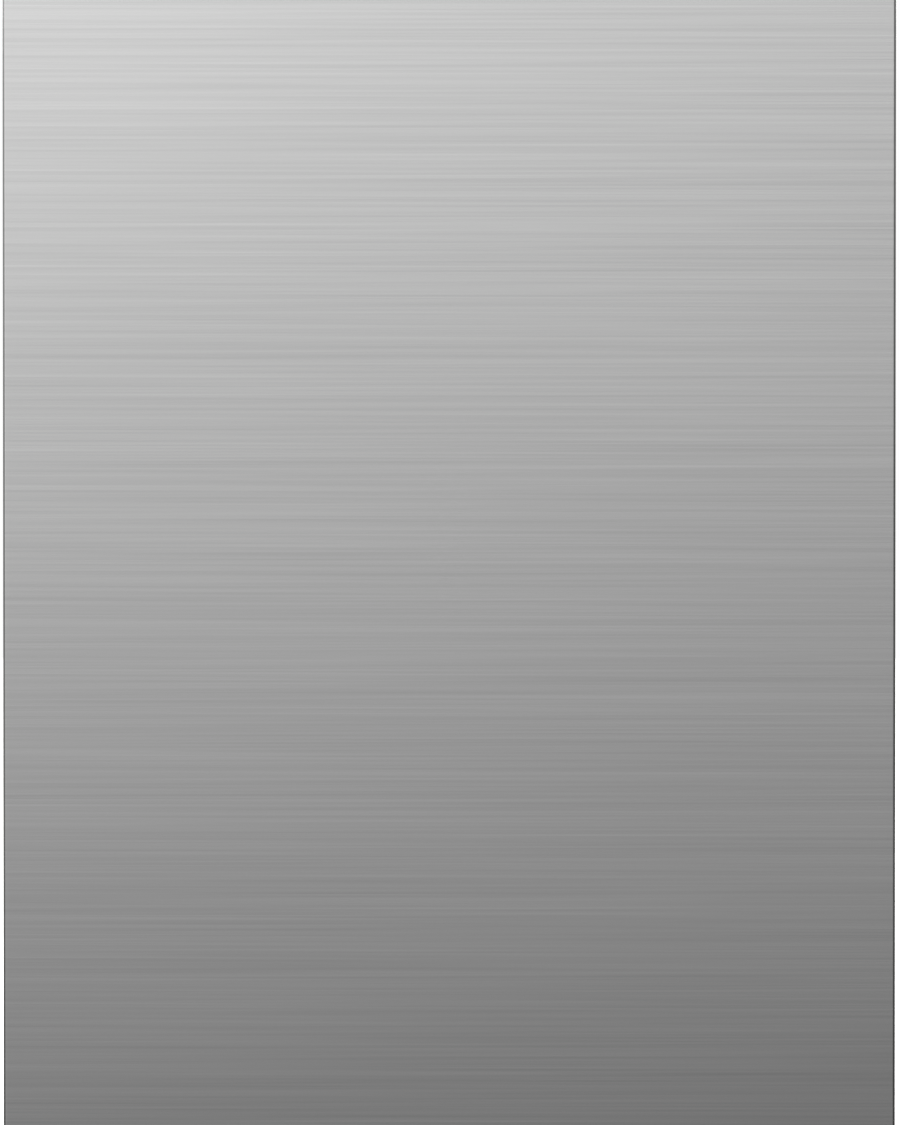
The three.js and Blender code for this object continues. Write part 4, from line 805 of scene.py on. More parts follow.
def makeLowerRack():
    v = lowerRack
    front, back = lowerSpan["y0"], lowerSpan["y1"]
    parts = basketWires("lowerRack", v, front, back)
    for x in v["tineRows"]:
        parts.append(tineLine("tineLine", x, front + 0.045, back - 0.045, v["floor"] + 0.004,
                              v["floor"] + v["tineHeight"], v["tines"]))
        parts.append(roundBar("tineFoot", [(x, front + 0.036, v["floor"] + 0.0092), (x, back - 0.036,
                                           v["floor"] + 0.0092)], 0.0019))
    for s in (-1, 1):
        for high in (0.24, 0.31):
            parts.append(roundBar("sideBrace", [(s * (v["side"] - 0.0075), front + 0.03, high),
                    (s * (v["side"] - 0.0075), back - 0.03, high)], 0.0016))
    whole = joined("lowerRack", parts)
    dress(whole, "wire", "lower_rack", "lower_rack")
    brackets = []
    for w in wheelSpan.values():
        s = 1 if w["x"] > 0 else -1
        inner, outer = s * (v["side"] - 0.002), s * (abs(w["x"]) - 0.0057)
        plate = brick("plate", inner, outer, w["y"] - 0.014, w["y"] + 0.014, w["z"] - 0.008, v["bracketTop"])
        brackets.append(softened(plate, 0.0016, 3))
        for step in (-0.009, 0.009):
            rib = brick("rib", s * (v["side"] - 0.007), inner, w["y"] + step - 0.001, w["y"] + step + 0.001,
                        w["z"] + 0.03, v["bracketTop"] - 0.004)
            brackets.append(softened(rib, 0.0004))
        pin = lathe("axle", "x", (w["y"], w["z"]),
                    [(0, s * 0.2398), (0.0030, s * 0.2398), (0.0030, s * 0.2570), (0.0024, s * 0.2583),
                     (0, s * 0.2583)], 20)
        brackets.append(pin)
        for high in (0.2875, 0.2355):
            clip = drum("clip", "y", (s * (v["side"] - 0.0025), high), 0.0046, w["y"] - 0.007, w["y"] + 0.007,
                        segments=20)
            brackets.append(clip)
    made = softened(joined("wheelBrackets", brackets), 0)
    dress(made, "grey", "lower_rack")
    grip = {"half": 0.062, "high": 0.013, "deep": 0.010}
    top = v["top"]
    bar = brick("rackGrip", -grip["half"], grip["half"], front, front + grip["deep"], top - grip["high"], top)
    finished(bar, 0.003, "grey", "lower_rack")


def makeWheel(name, node):
    w = span(node)
    x0, x1, r = w["x0"], w["x1"], (w["z1"] - w["z0"]) / 2
    body = lathe("wheelDisc", "x", (w["y"], w["z"]),
                 [(0.0033, x0), (0.0072, x0), (0.0078, x0 + 0.0022), (r - 0.0040, x0 + 0.0022), (r - 0.0034, x0),
                  (r - 0.0010, x0), (r, x0 + 0.0010), (r, x1 - 0.0010), (r - 0.0010, x1), (r - 0.0034, x1),
                  (r - 0.0040, x1 - 0.0022), (0.0078, x1 - 0.0022), (0.0072, x1), (0.0033, x1), (0.0033, x0)], 56)
    spoke = brick("spoke", x0 + 0.0005, x1 - 0.0005, w["y"] - 0.0009, w["y"] + 0.0009, w["z"] + 0.0074,
                  w["z"] + r - 0.0036)
    spokes = ring("spokes", spoke, "grey", 6, (w["x"], w["y"], w["z"]), (1, 0, 0))
    finished(joined(name, [body, spokes]), 0, "grey", bodyOf[node], node)


def makeFoldingTines():
    t = span("tine_row")
    low = t["z0"] + 0.002
    axle = roundBar("tineAxle", [(t["x"], t["y0"], low), (t["x"], t["y1"], low)], 0.002)
    pins = tineLine("foldingLine", t["x"], t["y0"] + 0.008, t["y1"] - 0.008, low, t["z1"], 15)
    dress(softened(joined("foldingTines", [axle, pins]), 0), "wire", "folding_tines", "tine_row")
    clips = [drum("tineClip", "y", (t["x"], low), 0.0042, y - 0.005, y + 0.005, segments=20)
             for y in spread(t["y0"] + 0.04, t["y1"] - 0.04, 3)]
    finished(joined("tineClips", clips), 0, "grey", "folding_tines")


def lattice(name, panels, cell, bar):  # open grid of bars over flat panels
    corners, faces = [], []
    for origin, across, up in panels:
        origin, across, up = Vector(origin), Vector(across), Vector(up)
        nx, nz = max(1, round(across.length / cell)), max(1, round(up.length / cell))
        base = len(corners)
        corners += [origin + across * i / nx + up * j / nz for j in range(nz + 1) for i in range(nx + 1)]
        faces += [(base + j * (nx + 1) + i, base + j * (nx + 1) + i + 1, base + (j + 1) * (nx + 1) + i + 1,
                   base + (j + 1) * (nx + 1) + i) for j in range(nz) for i in range(nx)]
    made = meshOf(name, corners, faces)
    grid = made.modifiers.new("bars", "WIREFRAME")
    grid.thickness = bar
    grid.use_even_offset = True
    grid.use_boundary = True
    return baked(made)


basketLook = {"cell": 0.0125, "bar": 0.0022, "rim": 0.010, "wall": 0.0024, "handle": 0.0055}


def makeBasket():
    b, v = span("cutlery_basket"), basketLook
    t, top = v["bar"] / 2 + 0.0002, b["z1"] - 0.026
    x0, x1, y0, y1, z0 = b["x0"] + t, b["x1"] - t, b["y0"] + t, b["y1"] - t, b["z0"] + t
    wide, long, tall = x1 - x0, y1 - y0, top - z0
    panels = [((x0, y0, z0), (wide, 0, 0), (0, 0, tall)), ((x0, y1, z0), (wide, 0, 0), (0, 0, tall)),
              ((x0, y0, z0), (0, long, 0), (0, 0, tall)), ((x1, y0, z0), (0, long, 0), (0, 0, tall)),
              ((x0, y0, z0), (wide, 0, 0), (0, long, 0))]
    for i in (1, 2):
        panels.append(((x0, y0 + long * i / 3, z0), (wide, 0, 0), (0, 0, tall)))
    parts = [lattice("basketGrid", panels, v["cell"], v["bar"])]
    w = v["wall"]
    for z, high in ((top - v["rim"], v["rim"]), (b["z0"], 0.006)):
        for a0, a1, c0, c1 in ((b["x0"], b["x1"], b["y0"], b["y0"] + w), (b["x0"], b["x1"], b["y1"] - w, b["y1"]),
                               (b["x0"], b["x0"] + w, b["y0"], b["y1"]), (b["x1"] - w, b["x1"], b["y0"], b["y1"])):
            parts.append(softened(brick("band", a0, a1, c0, c1, z, z + high), 0.0008))
    ends = [b["y0"] + (b["y1"] - b["y0"]) * i / 3 for i in (1, 2)]
    mid, r = b["x"], v["handle"]
    way = bent([(mid, ends[0], top - 0.008), (mid, ends[0], b["z1"] - r), (mid, ends[1], b["z1"] - r),
                (mid, ends[1], top - 0.008)], 0.02, 6)
    parts.append(roundBar("basketHandle", way, r, 4))
    finished(joined("cutleryBasket", parts), 0, "grey", "basket", "cutlery_basket")


def makeUpperRack():
    v = upperRack
    front, back = upperSpan["y0"], upperSpan["y1"]
    parts = basketWires("upperRack", v, front, back)
    dress(joined("upperRack", parts), "wire", "upper_rack", "upper_rack")
    hub, dock, arm = span("upper_spray_arm"), 0.4932, span("upper_spray_arm")["z1"] - 0.004
    tube = [(0, hub["y"]), (0.0100, hub["y"]), (0.011, hub["y"] + 0.001)]
    for y in spread(hub["y"] + 0.03, 0.25, 8):
        tube += [(0.011, y - 0.003), (0.0118, y - 0.002), (0.0118, y + 0.002), (0.011, y + 0.003)]
    tube += [(0.011, 0.268), (0.0095, 0.2762), (0, 0.2762)]
    pieces = [lathe("rackTube", "y", (0, dock), tube, 36),
              lathe("rackBoss", "z", (0, hub["y"]), [(0, arm + 0.005), (0.0165, arm + 0.005), (0.017, arm + 0.0056),
                    (0.017, 0.5045), (0.0155, 0.5065), (0, 0.5065)], 40),
              lathe("rackSpigot", "z", (0, hub["y"]), [(0, arm - 0.001), (0.0086, arm - 0.001), (0.009, arm),
                    (0.009, arm + 0.006), (0, arm + 0.006)], 32)]
    for s in (-1, 1):
        for y in spread(front + 0.06, back - 0.06, 3):
            hanger = brick("hanger", s * (v["side"] - 0.002), s * (v["side"] + 0.012), y - 0.016, y + 0.016,
                           0.550, 0.562)
            shoe = brick("shoe", s * (v["side"] - 0.0085), s * (v["side"] - 0.0002), y - 0.019, y + 0.019, 0.540,
                         0.5735)
            lever = brick("lever", s * (v["side"] - 0.0115), s * (v["side"] - 0.008), y - 0.008, y + 0.008, 0.545,
                          0.569)
            pieces += [softened(hanger, 0.0012), softened(shoe, 0.0025, 3), softened(lever, 0.0012)]
    finished(joined("upperRackFittings", pieces), 0, "grey", "upper_rack")
    slides = [softened(brick("slide", s * (v["side"] + 0.011), s * (v["side"] + 0.0154), front + 0.004, back - 0.004,
                             0.549, 0.563), 0.0012) for s in (-1, 1)]
    dress(joined("innerSlides", slides), "zinc", "upper_rack")
    grip = brick("upperGrip", -0.062, 0.062, front, front + 0.010, v["top"] - 0.013, v["top"])
    finished(grip, 0.003, "grey", "upper_rack")


def makeShelf():
    made = refined("cup_shelf", "cupShelf", "grey", 0.0011, 3)
    s = span("cup_shelf")
    hinge = (s["x0"] + 0.004, s["z"])
    clips = [drum("shelfClip", "y", hinge, 0.0062, y - 0.009, y + 0.009, segments=24)
             for y in spread(s["y0"] + 0.03, s["y1"] - 0.03, 3)]
    finished(joined("shelfClips", clips), 0, "grey", "cup_shelf")
    soft = [brick("edge", s["x1"] - 0.004, s["x1"], s["y0"] + 0.006, s["y1"] - 0.006, s["z"] - 0.0028,
                  s["z"] + 0.0028)]
    finished(joined("shelfEdge", soft), 0.0012, "rubber", "cup_shelf")
    return made


makeLowerRack()
for place in wheelSpan:
    left = "Left" if "left" in place else "Right"
    makeWheel(place.split("_")[0] + left + "Wheel", "wheel_" + place)
makeFoldingTines()
makeBasket()
makeUpperRack()
makeShelf()
for side in ("right", "left"):
    for part in ("middle", "fixed"):
        refined(f"rail_{part}_{side}", f"{side}{part.title()}Rail", "zinc", 0.0006, 3)
print("racks hung")


def sectionLoop(side, low, ledge, inner, top, corner, drop):  # the tub's outline, drop metres inside its walls
    s, n, t, f, g = side - drop, inner - drop, top - drop, low + drop, ledge + drop
    hand = [(n, 0, f), (n, 0, g), (s, 0, g), (s, 0, t)]
    radii = [0.005, 0.004, 0.006, max(0.012, corner - drop)]
    right = list(zip([Vector(c) for c in hand], radii))
    left = [(Vector((-c.x, 0, c.z)), r) for c, r in reversed(right)]
    whole = right + left
    path = []
    for i, (at, radius) in enumerate(whole):
        arcInto(path, whole[i - 1][0], at, whole[(i + 1) % len(whole)][0], radius, 7)
    return path


def resampled(path, count):  # a closed path as points at even steps, from its first point
    loop = path + [path[0]]
    lengths = [0.0]
    for a, b in zip(loop, loop[1:]):
        lengths.append(lengths[-1] + (b - a).length)
    made, k = [], 0
    for i in range(count):
        want = lengths[-1] * i / count
        while lengths[k + 1] < want:
            k += 1
        share = (want - lengths[k]) / max(1e-9, lengths[k + 1] - lengths[k])
        made.append(loop[k].lerp(loop[k + 1], share))
    return made


tubLook = {"sheet": 0.0009, "sill": 0.009, "backRound": 0.006, "bead": 0.0014, "beadHalf": 0.011,
           "beadPlaces": (-0.150, -0.075, 0.0, 0.075, 0.150, 0.222), "beadRuns": ((0.200, 0.530), (0.590, 0.780)),
           "hubHole": 0.102, "floatHole": 0.005, "padDeep": 0.0008}


def flangeLoop(mouth, t, inner, ledge, top, front):  # the flange's outer edge, a little short of the part's box
    middle, half = (ledge + top) / 2, (top - ledge) / 2
    return [Vector((p.x * (t["x1"] - 0.0004) / inner, front,
                    middle + (p.z - middle) * ((t["z1"] - t["z0"]) / 2 - 0.0004) / half)) for p in mouth]


def makeTub():  # pressed shell: sill, ledges for the wheels, round back edge and stiffening beads
    t, v, hub = span("tub"), tubLook, span("lower_spray_arm")
    wall = 0.0012
    inner = t["x1"] - 0.0152  # inside face of the side walls
    top = t["z1"] - 0.0152
    ledge, floor = t["z0"] + 0.0152, t["z0"] + 0.0012
    front, back = t["y0"], t["y1"] - wall - v["padDeep"]
    lane = inner - 0.028
    places = [front, front + 0.003, front + v["sill"]] + spread(front + 0.017, back - v["backRound"], 72)
    rings = []
    for y in places:
        low = ledge - 0.0004 + (floor - ledge + 0.0004) * smooth((y - front - v["sill"] + 0.001) / 0.009)
        loop = resampled(sectionLoop(inner, low, ledge, lane, top, 0.028, 0), 260)
        swell = max(smooth(1 - abs(y - p) / v["beadHalf"]) for p in v["beadPlaces"])
        for p in loop:
            p.y = y
            run = max(min(smooth((p.z - a) / 0.014), smooth((b - p.z) / 0.014)) for a, b in v["beadRuns"])
            if abs(p.x) > inner - 0.0005:
                p.x -= math.copysign(v["bead"] * swell * run, p.x)
            if p.z > top - 0.0005:
                p.z -= v["bead"] * swell * smooth((inner - 0.05 - abs(p.x)) / 0.015) * (abs(p.x) > 0.045)
        rings.append(loop)
    for step in range(1, 8):
        a = math.pi / 2 * step / 7
        drop = v["backRound"] * (1 - math.cos(a))
        loop = resampled(sectionLoop(inner, floor, ledge, lane, top, 0.028, drop), 260)
        for p in loop:
            p.y = back - v["backRound"] * (1 - math.sin(a))
        rings.append(loop)
    rings.insert(0, flangeLoop(rings[0], t, inner, ledge, top, front))
    shell = loft("tub", rings, closedEnds=False)
    shape = bmesh.new()
    shape.from_mesh(shell.data)
    shape.verts.ensure_lookup_table()
    bmesh.ops.contextual_create(shape, geom=[e for e in shape.edges if e.is_boundary
                                             and min(q.co.y for q in e.verts) > back - 0.001])
    bmesh.ops.recalc_face_normals(shape, faces=shape.faces)
    shape.to_mesh(shell.data)
    shape.free()
    middle = [f for f in shell.data.polygons if abs(f.center.z - (ledge + 0.3)) < 0.1 and f.center.x > inner - 0.01
              and 0 > f.center.y > -0.1][0]
    if middle.normal.x > 0:
        shell.data.flip_normals()
    skin = shell.modifiers.new("sheet", "SOLIDIFY")
    skin.thickness = v["sheet"]
    skin.offset = -1
    shell = baked(shell)
    knives = [drum("hole", "z", (0, hub["y"]), v["hubHole"], floor - 0.02, floor + 0.02, segments=96)]
    spot = span("overfill_float")
    knives.append(drum("hole", "z", (spot["x"], spot["y"]), v["floatHole"], floor - 0.02, floor + 0.02, segments=24))
    shell = cutBy(shell, *knives)
    dress(softened(shell, 0), "tub", "cabinet", "tub")
    pads = []
    for x in (-0.16, 0.16):
        for low, high in ((0.22, 0.52), (0.60, 0.76)):
            pad = brick("pad", x - 0.055, x + 0.055, back - 0.0012, back + 0.0002, low, high)
            pads.append(softened(pad, 0.001, 3))
    dress(joined("tubBackPads", pads), "tub", "cabinet")
    outside, rear = back + v["sheet"] - 0.0002, t["y1"] - 0.0001
    mats = [softened(brick("mat", x - 0.105, x + 0.105, outside, rear, low, high), 0.0006, 2)
            for x in (-0.125, 0.125) for low, high in ((0.215, 0.385), (0.405, 0.575), (0.595, 0.765))]
    dress(joined("dampingMats", mats), "rubber", "cabinet")


def frameSweep(name, loop, section):  # closed section pairs (out, along Y) carried round a loop that lies in XZ
    count = len(loop)
    rings = []
    for out, y in section:
        made = []
        for i, p in enumerate(loop):
            way = loop[(i + 1) % count] - loop[i - 1]
            normal = Vector((way.z, 0, -way.x)).normalized()
            made.append(Vector((p.x, 0, p.z)) + normal * out + Vector((0, y, 0)))
        rings.append(made)
    return loft(name, rings + [rings[0]], closedEnds=False)


def makeGasket():  # bulb on a ribbed foot, all round the mouth
    g = span("door_gasket")
    half, y0, y1 = 0.0055, g["y0"], g["y1"]
    side, low, high = g["x1"] - half, g["z0"] + half, g["z1"] - half
    loop = ringed([(side, 0, low), (side, 0, high), (-side, 0, high), (-side, 0, low)], 0.030, 10)
    deep = y1 - y0
    bulb = [(half * 0.86 * math.cos(a), y0 + deep * 0.42 - deep * 0.42 * math.sin(a))
            for a in [math.pi * i / 12 for i in range(13)]]
    foot = [(-half, y1 - deep * 0.42), (-half, y1 - deep * 0.28), (-half * 0.6, y1 - deep * 0.22),
            (-half * 0.6, y1), (half * 0.6, y1), (half * 0.6, y1 - deep * 0.22), (half, y1 - deep * 0.28),
            (half, y1 - deep * 0.42)]
    dress(softened(frameSweep("doorGasket", loop, bulb + foot), 0, angle=50), "rubber", "cabinet", "door_gasket")


blanketLook = {"cellDeep": 0.118, "cellWide": 0.105, "puff": 0.0034}


def makeBlanket():  # a padded mat folded over the tub, stitched in squares and bound along its edges
    b, t, v = span("insulation_blanket"), span("tub"), blanketLook
    inner = t["x1"] - 0.0152 + 0.0012 + 0.0012
    outer, top = b["x1"], b["z1"]
    mean = [(inner + outer) / 2, (t["z1"] - 0.014 + 0.0012 + top) / 2]
    thick = outer - inner
    corners = [(mean[0], 0, b["z0"]), (mean[0], 0, mean[1]), (-mean[0], 0, mean[1]), (-mean[0], 0, b["z0"])]
    way = bent(corners, 0.040, 14)
    lengths = [0.0]
    for a, c in zip(way, way[1:]):
        lengths.append(lengths[-1] + (c - a).length)
    total = lengths[-1]
    path, k = [], 0
    nu, nv = 210, 76
    for i in range(nu + 1):
        want = total * i / nu
        while k < len(lengths) - 2 and lengths[k + 1] < want:
            k += 1
        path.append((way[k].lerp(way[k + 1], (want - lengths[k]) / (lengths[k + 1] - lengths[k])), want))
    sheets = []
    for sign in (1, -1):
        sheet = []
        for i, (p, s) in enumerate(path):
            before, after = path[max(0, i - 1)][0], path[min(nu, i + 1)][0]
            run = (after - before).normalized()
            normal = Vector((run.z, 0, -run.x)) * -1
            if normal.dot(p - Vector((0, 0, 0.45))) < 0:
                normal = -normal
            for j in range(nv + 1):
                y = b["y0"] + (b["y1"] - b["y0"]) * j / nv
                d = y - b["y0"]
                dip = 1 - smooth((1 - abs(1 - 2 * abs((s / v["cellWide"]) % 1 - 0.5))) / 0.16)
                dip2 = 1 - smooth((1 - abs(1 - 2 * abs((d / v["cellDeep"]) % 1 - 0.5))) / 0.16)
                edge = min(d, b["y1"] - y, s, total - s)
                round = 1 - smooth(edge / 0.008)
                hollow = max(dip, dip2) * v["puff"] * (sign > 0) + round * thick * 0.30
                sheet.append(p + normal * sign * (thick / 2 - hollow) + Vector((0, y, 0)))
        sheets.append(sheet)
    wide = nv + 1
    base = len(sheets[0])
    faces = []
    for i in range(nu):
        for j in range(nv):
            a = i * wide + j
            faces.append((a, a + 1, a + wide + 1, a + wide))
            faces.append((base + a, base + a + wide, base + a + wide + 1, base + a + 1))
    for i in range(nu):
        for j in (0, nv):
            a, c = i * wide + j, (i + 1) * wide + j
            faces.append((a, c, base + c, base + a))
    for j in range(nv):
        for i in (0, nu):
            a, c = i * wide + j, i * wide + j + 1
            faces.append((a, c, base + c, base + a))
    mat = outward(meshOf("insulationBlanket", sheets[0] + sheets[1], faces))
    mat = dress(softened(mat, 0, angle=60), "felt", "cabinet", "insulation_blanket")
    spots = []
    for s in (-1, 1):
        for y in (-0.05, 0.10, 0.25):
            for z in (0.30, 0.52, 0.74):
                spots.append(((s * (outer - 0.0009), y, z), (s, 0, 0)))
    for x in (-0.16, 0.0, 0.16):
        for y in (-0.05, 0.10, 0.25):
            spots.append(((x, y, top - 0.0009), (0, 0, 1)))
    return spots


linerLook = {"sheet": 0.0009, "rise": 0.010, "slope": 0.011, "corner": 0.020, "press": 0.0016, "pressSlope": 0.006,
             "back": 0.032, "panels": ((-0.215, 0.215, 0.205, 0.445), (-0.215, 0.215, 0.665, 0.795))}


def roundedReach(x, z, box, corner):  # distance inside a rectangle with round corners
    x0, x1, z0, z1 = box
    qx = abs(x - (x0 + x1) / 2) - (x1 - x0) / 2 + corner
    qz = abs(z - (z0 + z1) / 2) - (z1 - z0) / 2 + corner
    return -(math.hypot(max(qx, 0), max(qz, 0)) + min(max(qx, qz), 0) - corner)


def graded(start, end, tight, fine, coarse):  # places along a line, closer together near the tight ones
    places = [start]
    while places[-1] < end - 1e-6:
        at = places[-1]
        near = min(abs(at - t) for t in tight)
        places.append(min(end, at + (fine if near < 0.016 else coarse)))
    return places


def makeLiner():  # one pressing: rim for the gasket, raised middle, two shallow panels and a hole for the dispenser
    d, v, cup = span("door_liner"), linerLook, span("dispenser_body")
    rim = d["y1"] - v["rise"]
    field = (-0.2548, 0.2548, 0.176, 0.8228)
    hole = (cup["x0"] + 0.004, cup["x1"] - 0.004, cup["z0"] + 0.004, cup["z1"] - 0.004)
    xs = graded(d["x0"], d["x1"], (field[0], field[1], -0.215, 0.215), 0.0022, 0.009)
    zs = graded(d["z0"], d["z1"], (field[2], field[3], 0.205, 0.445, 0.665, 0.795), 0.0022, 0.009)
    for places, stops in ((xs, hole[:2]), (zs, hole[2:])):
        for stop in stops:
            nearest = min(range(len(places)), key=lambda i: abs(places[i] - stop))
            places[nearest] = stop
    corners = []
    for z in zs:
        for x in xs:
            y = rim + v["rise"] * smooth(roundedReach(x, z, field, v["corner"]) / v["slope"])
            for panel in v["panels"]:
                y -= v["press"] * smooth(roundedReach(x, z, panel, 0.016) / v["pressSlope"])
            corners.append((x, y, z))
    wide = len(xs)
    faces = []
    for j in range(len(zs) - 1):
        for i in range(wide - 1):
            x, z = (xs[i] + xs[i + 1]) / 2, (zs[j] + zs[j + 1]) / 2
            if not (hole[0] < x < hole[1] and hole[2] < z < hole[3]):
                a = j * wide + i
                faces.append((a + 1, a, a + wide, a + wide + 1))
    border = [i for i in range(wide)] + [j * wide + wide - 1 for j in range(1, len(zs))]
    border += [(len(zs) - 1) * wide + i for i in range(wide - 2, -1, -1)] + [j * wide for j in range(len(zs) - 2, 0,
            -1)]
    start = len(corners)
    corners += [(corners[i][0], rim - v["back"] + 0.0002, corners[i][2]) for i in border]
    count = len(border)
    faces += [(border[(k + 1) % count], border[k], start + k, start + (k + 1) % count) for k in range(count)]
    pan = outward(meshOf("doorLiner", corners, faces))
    sample = max(pan.data.polygons, key=lambda f: f.center.y)
    if sample.normal.y < 0:
        pan.data.flip_normals()
    edges = pan.modifiers.new("edges", "BEVEL")
    edges.width = 0.003
    edges.segments = 4
    edges.limit_method = "ANGLE"
    edges.angle_limit = math.radians(55)
    skin = pan.modifiers.new("sheet", "SOLIDIFY")
    skin.thickness = v["sheet"]
    skin.offset = -1
    pawl = span("latch_pawl")
    pan = cutBy(baked(pan), brick("notch", pawl["x0"] - 0.0015, pawl["x1"] + 0.0015, pawl["y0"] - 0.002,
                                  pawl["y1"] + 0.002,
                                  d["z1"] - 0.004, d["z1"] + 0.004))  # room for the latch pawl to swing down
    dress(softened(pan, 0, angle=40), "tub", "door", "door_liner")
    spots = [((s * 0.2885, rim - 0.0002, z), (0, 1, 0)) for s in (-1, 1) for z in spread(0.19, 0.80, 5)]
    spots += [((x, rim - 0.0002, 0.1485), (0, 1, 0)) for x in (-0.2, 0, 0.2)]
    spots += [((x, rim - 0.0002, 0.8395), (0, 1, 0)) for x in (-0.2, -0.1, 0.1, 0.2)]
    fixings("linerScrews", "door", spots, "spring")


armLook = {"turn": 0.35, "thick": 0.013, "hub": 0.021, "blade": 0.030, "nozzle": 0.0042,
           "jets": (0.05, 0.08, 0.115, 0.145, 0.175, 0.20)}


def makeArm(name, node, boreFromBelow):  # two swept blades, a hub and raised jets
    a, v = span(node), armLook
    low = a["z0"] + 0.001
    high, turn = low + v["thick"], v["turn"]
    reach = a["x1"] / math.cos(turn) - 0.003
    rings = []
    for t in [-1 + 2 * i / 40 for i in range(41)]:
        along = reach * t
        end = abs(t)
        half = v["blade"] * (0.62 - 0.12 * min(1, end * 1.05)) * math.sqrt(max(0.02,
                1 - max(0, (end - 0.93) / 0.07) ** 2))
        thick = v["thick"] / 2 * (1 - 0.28 * end) * (1 if end < 0.96 else 0.8)
        loop = []
        for i in range(28):
            angle = math.tau * i / 28
            c, s = math.cos(angle), math.sin(angle)
            across = half * math.copysign(abs(c) ** 0.75, c)
            up = thick * math.copysign(abs(s) ** 0.62, s)
            x, y = along * math.cos(turn) - across * math.sin(turn), along * math.sin(turn) + across * math.cos(turn)
            loop.append(Vector((x, a["y"] + y, (low + high) / 2 + up)))
        rings.append(loop)
    blade = softened(loft(name + "Blade", rings), 0, angle=60)
    hubTop = a["z1"]
    hub = lathe(name + "Hub", "z", (0, a["y"]),
                [(0, low - 0.0009), (v["hub"] - 0.0015, low - 0.0009), (v["hub"], low + 0.0006),
                 (v["hub"], hubTop - 0.004),
                 (v["hub"] - 0.003, hubTop - 0.0012), (v["hub"] - 0.006, hubTop - 0.0002), (0, hubTop - 0.0002)], 48)
    bore = (low - 0.003, low + 0.006) if boreFromBelow else (high - 0.003, hubTop + 0.003)
    body = cutBy(joined(name, [blade, hub]), drum("bore", "z", (0, a["y"]), 0.0096, *bore, segments=32))
    parts = [body]
    for s in (-1, 1):
        for k, d in enumerate(v["jets"]):
            if d > reach - 0.012:
                continue
            across = (0.006 if k % 2 else -0.006) * s
            x = s * d * math.cos(turn) - across * math.sin(turn)
            y = s * d * math.sin(turn) + across * math.cos(turn)
            r = v["nozzle"]
            top = high - 0.0018 * d / reach - 0.0008
            parts.append(lathe("jet", "z", (x, a["y"] + y), [(0, top - 0.002), (r, top - 0.002), (r, top + 0.0006),
                               (r * 0.7, top + 0.0013), (r * 0.42, top + 0.0013), (r * 0.32, top + 0.0002),
                               (0, top + 0.0002)], 20))
    finished(joined(name, parts), 0, "grey", bodyOf[node], node)


def makeFilter():  # twist-out cylinder with ribs and teeth, and the perforated plate round it
    f, plate = span("filter_cylinder"), span("filter_plate")
    x, y, r = f["x"], f["y"], (f["x1"] - f["x0"]) / 2
    cup = lathe("filterCylinder", "z", (x, y), [(0, f["z0"]), (r - 0.004, f["z0"]), (r - 0.0025, f["z0"] + 0.002),
                (r - 0.002, f["z1"] - 0.016), (r, f["z1"] - 0.014), (r, f["z1"] - 0.005), (r - 0.0006,
                        f["z1"] - 0.004),
                (r - 0.003, f["z1"] - 0.004), (r - 0.0035, f["z1"] - 0.010), (r - 0.0042, f["z0"] + 0.004),
                (0, f["z0"] + 0.004)], 72)
    rib = brick("rib", x - 0.0012, x + 0.0012, y + r - 0.0028, y + r - 0.0003, f["z0"] + 0.004, f["z1"] - 0.014)
    ribs = ring("ribs", rib, "grey", 12, (x, y, 0), (0, 0, 1))
    bar = softened(brick("bar", x - r + 0.001, x + r - 0.001, y - 0.003, y + 0.003, f["z1"] - 0.013, f["z1"]),
                   0.0014, 3)
    tooth = brick("tooth", x - 0.002, x + 0.002, y + r - 0.007, y + r - 0.0034, f["z1"] - 0.0052, f["z1"] - 0.002)
    teeth = ring("teeth", tooth, "grey", 24, (x, y, 0), (0, 0, 1))
    finished(joined("filterCylinder", [cup, ribs, bar, teeth]), 0, "grey", "filter", "filter_cylinder")
    hub = span("lower_spray_arm")
    low, high, wide = plate["z0"], plate["z1"], (plate["x1"] - plate["x0"]) / 2
    disc = lathe("filterPlate", "z", (0, hub["y"]), [(0, low), (wide - 0.004, low), (wide, low + 0.0002),
                 (wide, low + 0.001), (wide - 0.003, high), (wide - 0.010, high - 0.0004), (0, high - 0.0004)], 96)
    disc = cutBy(disc, drum("hole", "z", (0, hub["y"]), 0.0136, low - 0.01, high + 0.01, segments=40),
                 drum("hole", "z", (x, y), r + 0.0006, low - 0.01, high + 0.01, segments=72))
    finished(disc, 0, "mesh", "cabinet", "filter_plate")


makeTub()
makeGasket()
blanketSpots = makeBlanket()
fixings("blanketPins", "cabinet", blanketSpots, "zinc")
makeLiner()
makeArm("lowerSprayArm", "lower_spray_arm", True)
makeArm("upperSprayArm", "upper_spray_arm", False)
makeFilter()
print("tub, liner and spray arms made")


springLook = {"coil": 0.0048, "wire": 0.0009, "turns": 34.0, "hook": 0.012, "rope": 0.0012}


